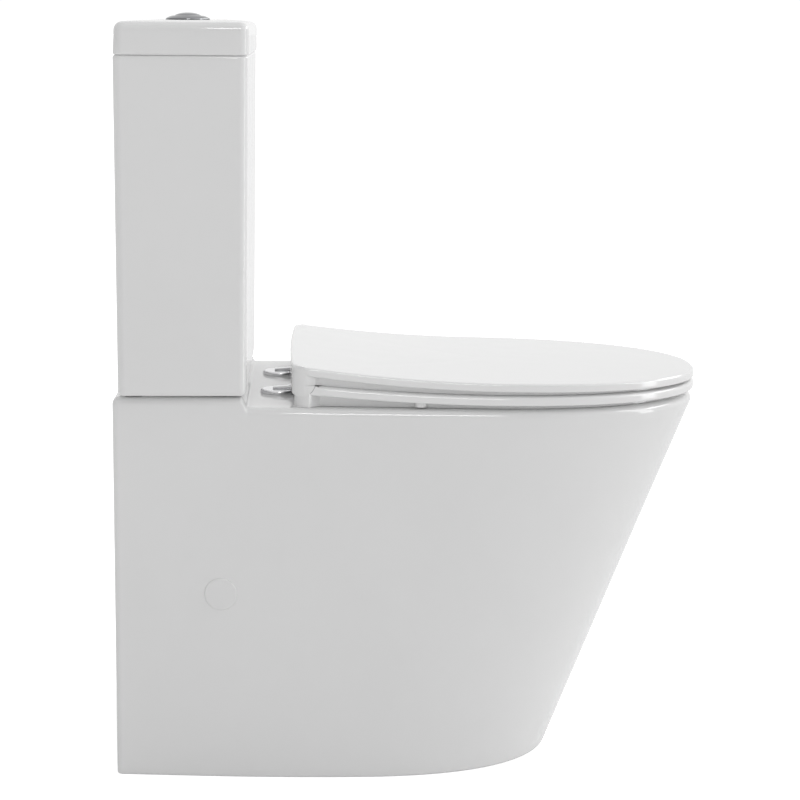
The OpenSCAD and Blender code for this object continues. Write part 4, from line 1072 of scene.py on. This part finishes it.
def make_seat_lid():
    so = lambda d: seat_half(LB, 22, d)[0]
    rings = [rise_from(lid_low, so(6.5), 0.0)]
    for t in np.linspace(0, math.pi / 2, 6):
        rings.append(rise_from(lid_low, so(2.4 * (1 - math.sin(t))), 2.4 * (1 - math.cos(t))))
    for z in (LH - 4.2,):
        rings.append(rise_from(lid_low, so(0), z))
    for t in np.linspace(0, math.pi / 2, 10):
        rings.append(rise_from(lid_low, so(3 * (1 - math.cos(t))), LH - 3 + 3 * math.sin(t)))
    edge, mid = so(3), np.array([SEAT_C, 0.0])
    for k in (0.985, 0.96, 0.92, 0.86, 0.78, 0.68, 0.56, 0.43, 0.3, 0.18, 0.08):
        rings.append(rise_from(lid_low, mid + (edge - mid) * k, LH + 0.9 * (1 - k ** 2) ** 1.5))
    ob = loft("lid", rings, caps=("ngon", "fan"))

    wall = [[222, float(lid_low(222)) + 5], [201, AXIS_Z + 12.8]]
    arc_a = np.linspace(135, 262, 22)
    wall += [[AXIS_S + max(-12.4, 14.8 * math.cos(math.radians(a))), AXIS_Z + 14.8 * math.sin(math.radians(a))] for a in arc_a]
    wall += [[AXIS_S + max(-9.8, 12.2 * math.cos(math.radians(a))), AXIS_Z + 12.2 * math.sin(math.radians(a))] for a in arc_a[::-1]]
    wall += [[206, AXIS_Z + 9.6], [222, AXIS_Z + 9.6]]
    hw = float(seat_w(215)) - 4
    rear = prism("wall", wall, -hw, hw)
    for k in (-1, 1):
        inner = barrel("ch", *sorted((k * CHEEK_X, k * 164.7)), CHEEK_R, n=128)
        outer = barrel("ch2", *sorted((k * 164.2, k * 178)), CHEEK_R, n=128)
        join(outer, [notch(k)], "DIFFERENCE")
        join(rear, [inner, outer], "UNION")
    join(rear, [outline_block("ob2")], "INTERSECT")
    join(ob, [rear], "UNION")
    cuts = []
    for k in (-1, 1):
        x = k * HINGE_X
        cuts.append(barrel("rm", x - 17.4, x + 17.4, 9.8))
        cuts.append(box("rm2", AXIS_S - 20, AXIS_S + 30, x - 17.4, x + 17.4, AXIS_Z - 30, AXIS_Z))
        cuts.append(box("rm3", AXIS_S - 27, AXIS_S + 3, x - 7.5, x + 7.5, AXIS_Z - 30, AXIS_Z + 9.6))
    join(ob, cuts, "DIFFERENCE")
    for k in (-1, 1):
        for q in (-1, 1):
            x = k * HINGE_X + q * 22.3
            stub = [[AXIS_S - 8.5, AXIS_Z + 3], [AXIS_S + 8.5, AXIS_Z + 3], [AXIS_S + 8.5, AXIS_Z + 11], [AXIS_S - 8.5, AXIS_Z + 11]]
            join(ob, [barrel("kn", x - 4.7, x + 4.7, 9.0), prism("st", stub, x - 4.7, x + 4.7)], "UNION")
    hollow_half = seat_half(AXIS_S + 11.5, 16, 7)[0]
    hollow = loft("ho", [ring3(hollow_half, lid_low(hollow_half[:, 0]) - 3), ring3(hollow_half, lid_low(hollow_half[:, 0]) + LH - LT)], caps=("fan", "fan"))
    cuts = [barrel("pin", k * HINGE_X - 40, k * HINGE_X + 40, 3.06, n=48) for k in (-1, 1)] + [hollow]
    for s, x in ((330, 150), (560, 128)):
        for k in (-1, 1):
            z = float(lid_low(s))
            cuts.append(rod_z("so", s, k * x, 6.03, z - 3, z + LH - LT + 1.5, 64))
    join(ob, cuts, "DIFFERENCE")
    a, b = seat_half(RB, RC, 3.87)[0], hole_half(8)

    def above_ring(s, d):
        """Just clear of the ring's top face, d in from its edge."""
        span = np.interp(s, a[:, 0][::4], np.hypot(*(b - a).T)[::4])
        t = np.maximum(0, d - 3.87) / span
        return ring_low(s) + RH + 0.2 + 9.2 * t - 8.0 * t * t

    under = lip("lip", LB, 22, above_ring, lambda s: lid_low(s) + 6.2, 8.5, 11.0, 219, 12)
    join(under, [box("lc", 190, 221.5, -200, 200, 400, 500)], "DIFFERENCE")
    join(ob, [under], "UNION")
    return tidy(ob, "seat_lid_moulding", 34)


dress(make_seat_ring(), "seat_ring_body", M["seat"], ["seat_ring"])
dress(make_seat_lid(), "seat_lid_body", M["seat"], ["seat_lid"])


def buffer(name, s, x, z0, z1, r, down=True):
    """A round buffer with a soft rim on its free end."""
    e = 1.4
    free = [[0, z0]] + [[r - e + e * math.sin(t), z0 + e - e * math.cos(t)] for t in np.linspace(0, math.pi / 2, 6)] + [[r, z1], [0, z1]]
    return tidy(lathe(name, free, s, x, 0, 64), name)


for s, x in ((345, 146), (570, 118)):
    z0 = float(deck_at(s)) + 0.35
    for k, side in ((-1, "left"), (1, "right")):
        b = buffer("ring_buffer_%d_%s" % (s, side), s, k * x, z0, float(ring_low(s)) + 2.95, 8.0)
        dress(b, "seat_ring_body", M["buffer"], ["ring_buffers"])
for s, x in ((330, 150), (560, 128)):
    z0 = float(ring_low(s)) + RH + 2.9
    for k, side in ((-1, "left"), (1, "right")):
        b = buffer("lid_buffer_%d_%s" % (s, side), s, k * x, z0, float(lid_low(s)) + LH - LT + 1.45, 6.0)
        dress(b, "seat_lid_body", M["buffer"], ["lid_buffers"])

# ------------------------------------------------------------------ hinges
for k, side in ((-1, "left"), (1, "right")):
    z = float(deck_at(HINGE_S)) + 0.2
    prof = [[0, 1.8], [17.4, 1.8], [17.4, 0], [20.6, 0]] + [[20.6 + 0.4 * math.sin(t), 0.4 - 0.4 * math.cos(t)] for t in np.linspace(0.3, math.pi / 2, 4)]
    prof += [[21 - 3.2 * (1 - math.cos(t)), 2.4 + 2.0 * math.sin(t)] for t in np.linspace(0, math.pi / 2, 9)]
    prof += [[12, 4.62], [6, 4.76], [0, 4.8]]
    cover = tidy(lathe("cover", prof, HINGE_S, k * HINGE_X, z, 128), "hinge_cover_" + side)
    dress(cover, "toilet_body", M["cover"], ["hinge_covers"])
    x = k * HINGE_X
    profile = [[AXIS_S - 8, AXIS_Z], [AXIS_S - 7.2, AXIS_Z - 14.5], [AXIS_S - 9.5, AXIS_Z - 18.6], [AXIS_S - 14, AXIS_Z - 21.2], [AXIS_S - 32, AXIS_Z - 22.5],
               [AXIS_S - 32, AXIS_Z - 24.5], [AXIS_S - 4, AXIS_Z - 24.5], [AXIS_S + 3, AXIS_Z - 18], [AXIS_S + 6, AXIS_Z]]
    post = prism("post", profile, x - 7, x + 7)
    join(post, [barrel("pb", x - 7, x + 7, 8.2)], "UNION")
    join(post, [barrel("pn", x - 20, x + 20, 3.02, n=48)], "DIFFERENCE")
    round_edges(post, 0.5, 40, 3)
    tidy(post, "hinge_post_" + side, 30)
    dress(post, "toilet_body", M["post"], ["hinge_posts"])

# ------------------------------------------------------------------ floor, light and camera
FLOOR_GLOW = 0.6


def stage_floor():
    """A plain pale floor, much larger than what is seen."""
    half, depth = 90.0, 90.0
    bm = bmesh.new()
    n = 8
    grid = [[bm.verts.new((mix(-half, half, i / n), mix(-depth, depth, j / n), -0.0004)) for i in range(n + 1)] for j in range(n + 1)]
    for j in range(n):
        for i in range(n):
            bm.faces.new([grid[j][i], grid[j][i + 1], grid[j + 1][i + 1], grid[j + 1][i]])
    me = bpy.data.meshes.new("floor")
    bm.to_mesh(me)
    bm.free()
    ob = bpy.data.objects.new("floor", me)
    bpy.context.scene.collection.objects.link(ob)
    n = Net("floor_pale")
    cloud = n.noise(0.6, 2.0, 0.5)
    base = n.ramp(cloud, "Fac", [(0.3, (0.955, 0.955, 0.955)), (0.7, (0.975, 0.975, 0.975))])
    n.link(base, "Color", n.bsdf, "Base Color")
    n.set(Roughness=0.9, Specular_IOR_Level=0.0, Emission_Color=(1, 1, 1, 1))
    path = n.add("ShaderNodeLightPath")
    glow = n.spread(path, "Is Camera Ray", 0.0, FLOOR_GLOW, 0.0, 1.0)
    n.link(glow, "Result", n.bsdf, "Emission Strength")
    me.materials.append(n.mat)
    ob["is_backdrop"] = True
    return ob


floor = stage_floor()


# Soft light from all round. Each lobe: direction, where its fade starts and ends (cosine of the angle), strength
SKY = {
    "all": (None, 0, 0, 0.457),
    "top": ((0, 0, 1), 0.1, 1.0, 0.276),
    "behind": ((1, 0, 0), 0.1, 0.75, 0.238),
    "behind_narrow": ((1, 0, 0), 0.75, 0.97, 0.231),
    "front": ((0, -1, 0), 0.2, 1.0, 0.394),
    "high_front": ((0, -0.7, 0.71), 0.6, 0.98, 0.518),
}
BACKDROP = 1.05


def studio_world():
    w = bpy.data.worlds.new("studio")
    bpy.context.scene.world = w
    w.use_nodes = True
    t = w.node_tree
    t.nodes.clear()
    out = t.nodes.new("ShaderNodeOutputWorld")
    bg = t.nodes.new("ShaderNodeBackground")
    bg.name = "light"
    # What the camera sees behind the floor is plain white
    white = t.nodes.new("ShaderNodeBackground")
    white.name = "backdrop"
    white.inputs["Color"].default_value = (1, 1, 1, 1)
    white.inputs["Strength"].default_value = BACKDROP
    path = t.nodes.new("ShaderNodeLightPath")
    both = t.nodes.new("ShaderNodeMixShader")
    t.links.new(path.outputs["Is Camera Ray"], both.inputs[0])
    t.links.new(bg.outputs[0], both.inputs[1])
    t.links.new(white.outputs[0], both.inputs[2])
    t.links.new(both.outputs[0], out.inputs[0])
    co = t.nodes.new("ShaderNodeTexCoord")
    total = t.nodes.new("ShaderNodeValue")
    total.name = "all"
    total.outputs[0].default_value = SKY["all"][3]
    for name, (axis, a, b, amount) in SKY.items():
        if axis is None:
            continue
        d = t.nodes.new("ShaderNodeVectorMath")
        d.operation = "DOT_PRODUCT"
        t.links.new(co.outputs["Generated"], d.inputs[0])
        d.inputs[1].default_value = Vector(axis).normalized()
        m = t.nodes.new("ShaderNodeMapRange")
        m.name = name
        m.interpolation_type = "SMOOTHSTEP"
        m.inputs["From Min"].default_value = a
        m.inputs["From Max"].default_value = b
        m.inputs["To Min"].default_value = 0.0
        m.inputs["To Max"].default_value = amount
        t.links.new(d.outputs["Value"], m.inputs["Value"])
        add = t.nodes.new("ShaderNodeMath")
        add.operation = "ADD"
        t.links.new(total.outputs[0], add.inputs[0])
        t.links.new(m.outputs["Result"], add.inputs[1])
        total = add
    t.links.new(total.outputs[0], bg.inputs["Strength"])
    bg.inputs["Color"].default_value = (1, 1, 1, 1)
    return w


def softbox(name, where, target, w, h, power, gloss_only=True):
    d = bpy.data.lights.new(name, "AREA")
    d.shape = "RECTANGLE"
    d.size, d.size_y = w, h
    d.energy = power
    d.color = (1, 1, 1)
    o = bpy.data.objects.new(name, d)
    o.location = where
    o.rotation_euler = (Vector(target) - Vector(where)).to_track_quat("-Z", "Y").to_euler()
    o.visible_camera = False
    o.visible_diffuse = not gloss_only
    bpy.context.scene.collection.objects.link(o)
    return o


studio_world()
softbox("rim_light", (-2.7, -0.05, 2.35), (0, 0, 0.45), 0.85, 0.6, 14.0)
softbox("edge_light", (-0.42, -1.7, 0.95), (-0.178, 0.186, 0.6), 0.36, 1.9, 8.0)
softbox("front_light", (1.0, -2.1, 1.9), (0, -0.3, 0.45), 2.8, 0.5, 22.0)

scene = bpy.context.scene
cam_data = bpy.data.cameras.new("camera")
cam_data.sensor_width = 36.0
cam_data.lens = 98.63
cam_data.clip_start, cam_data.clip_end = 0.05, 100.0
cam = bpy.data.objects.new("camera", cam_data)
right, up, back = Vector((-0.03845391, -0.99922694, 0.00817486)), Vector((0.17311384, 0.00139561, 0.98490083)), Vector((-0.98415085, 0.03928847, 0.17292634))
turn = Matrix((right, up, back)).transposed().to_4x4()
cam.matrix_world = Matrix.Translation((-2.5774, 0.11351, 0.85852)) @ turn
scene.collection.objects.link(cam)
scene.camera = cam
scene.view_settings.view_transform = "Standard"
scene.view_settings.look = "None"
scene.view_settings.exposure = 0.0
scene.view_settings.gamma = 1.0

seen_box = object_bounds()


def plain(v):
    if isinstance(v, dict):
        return {k: plain(x) for k, x in v.items()}
    if hasattr(v, "__len__") and not isinstance(v, str):
        return [plain(x) for x in v]
    return float(v)


{"cad": plain(cad_box), "visual": plain(seen_box)}
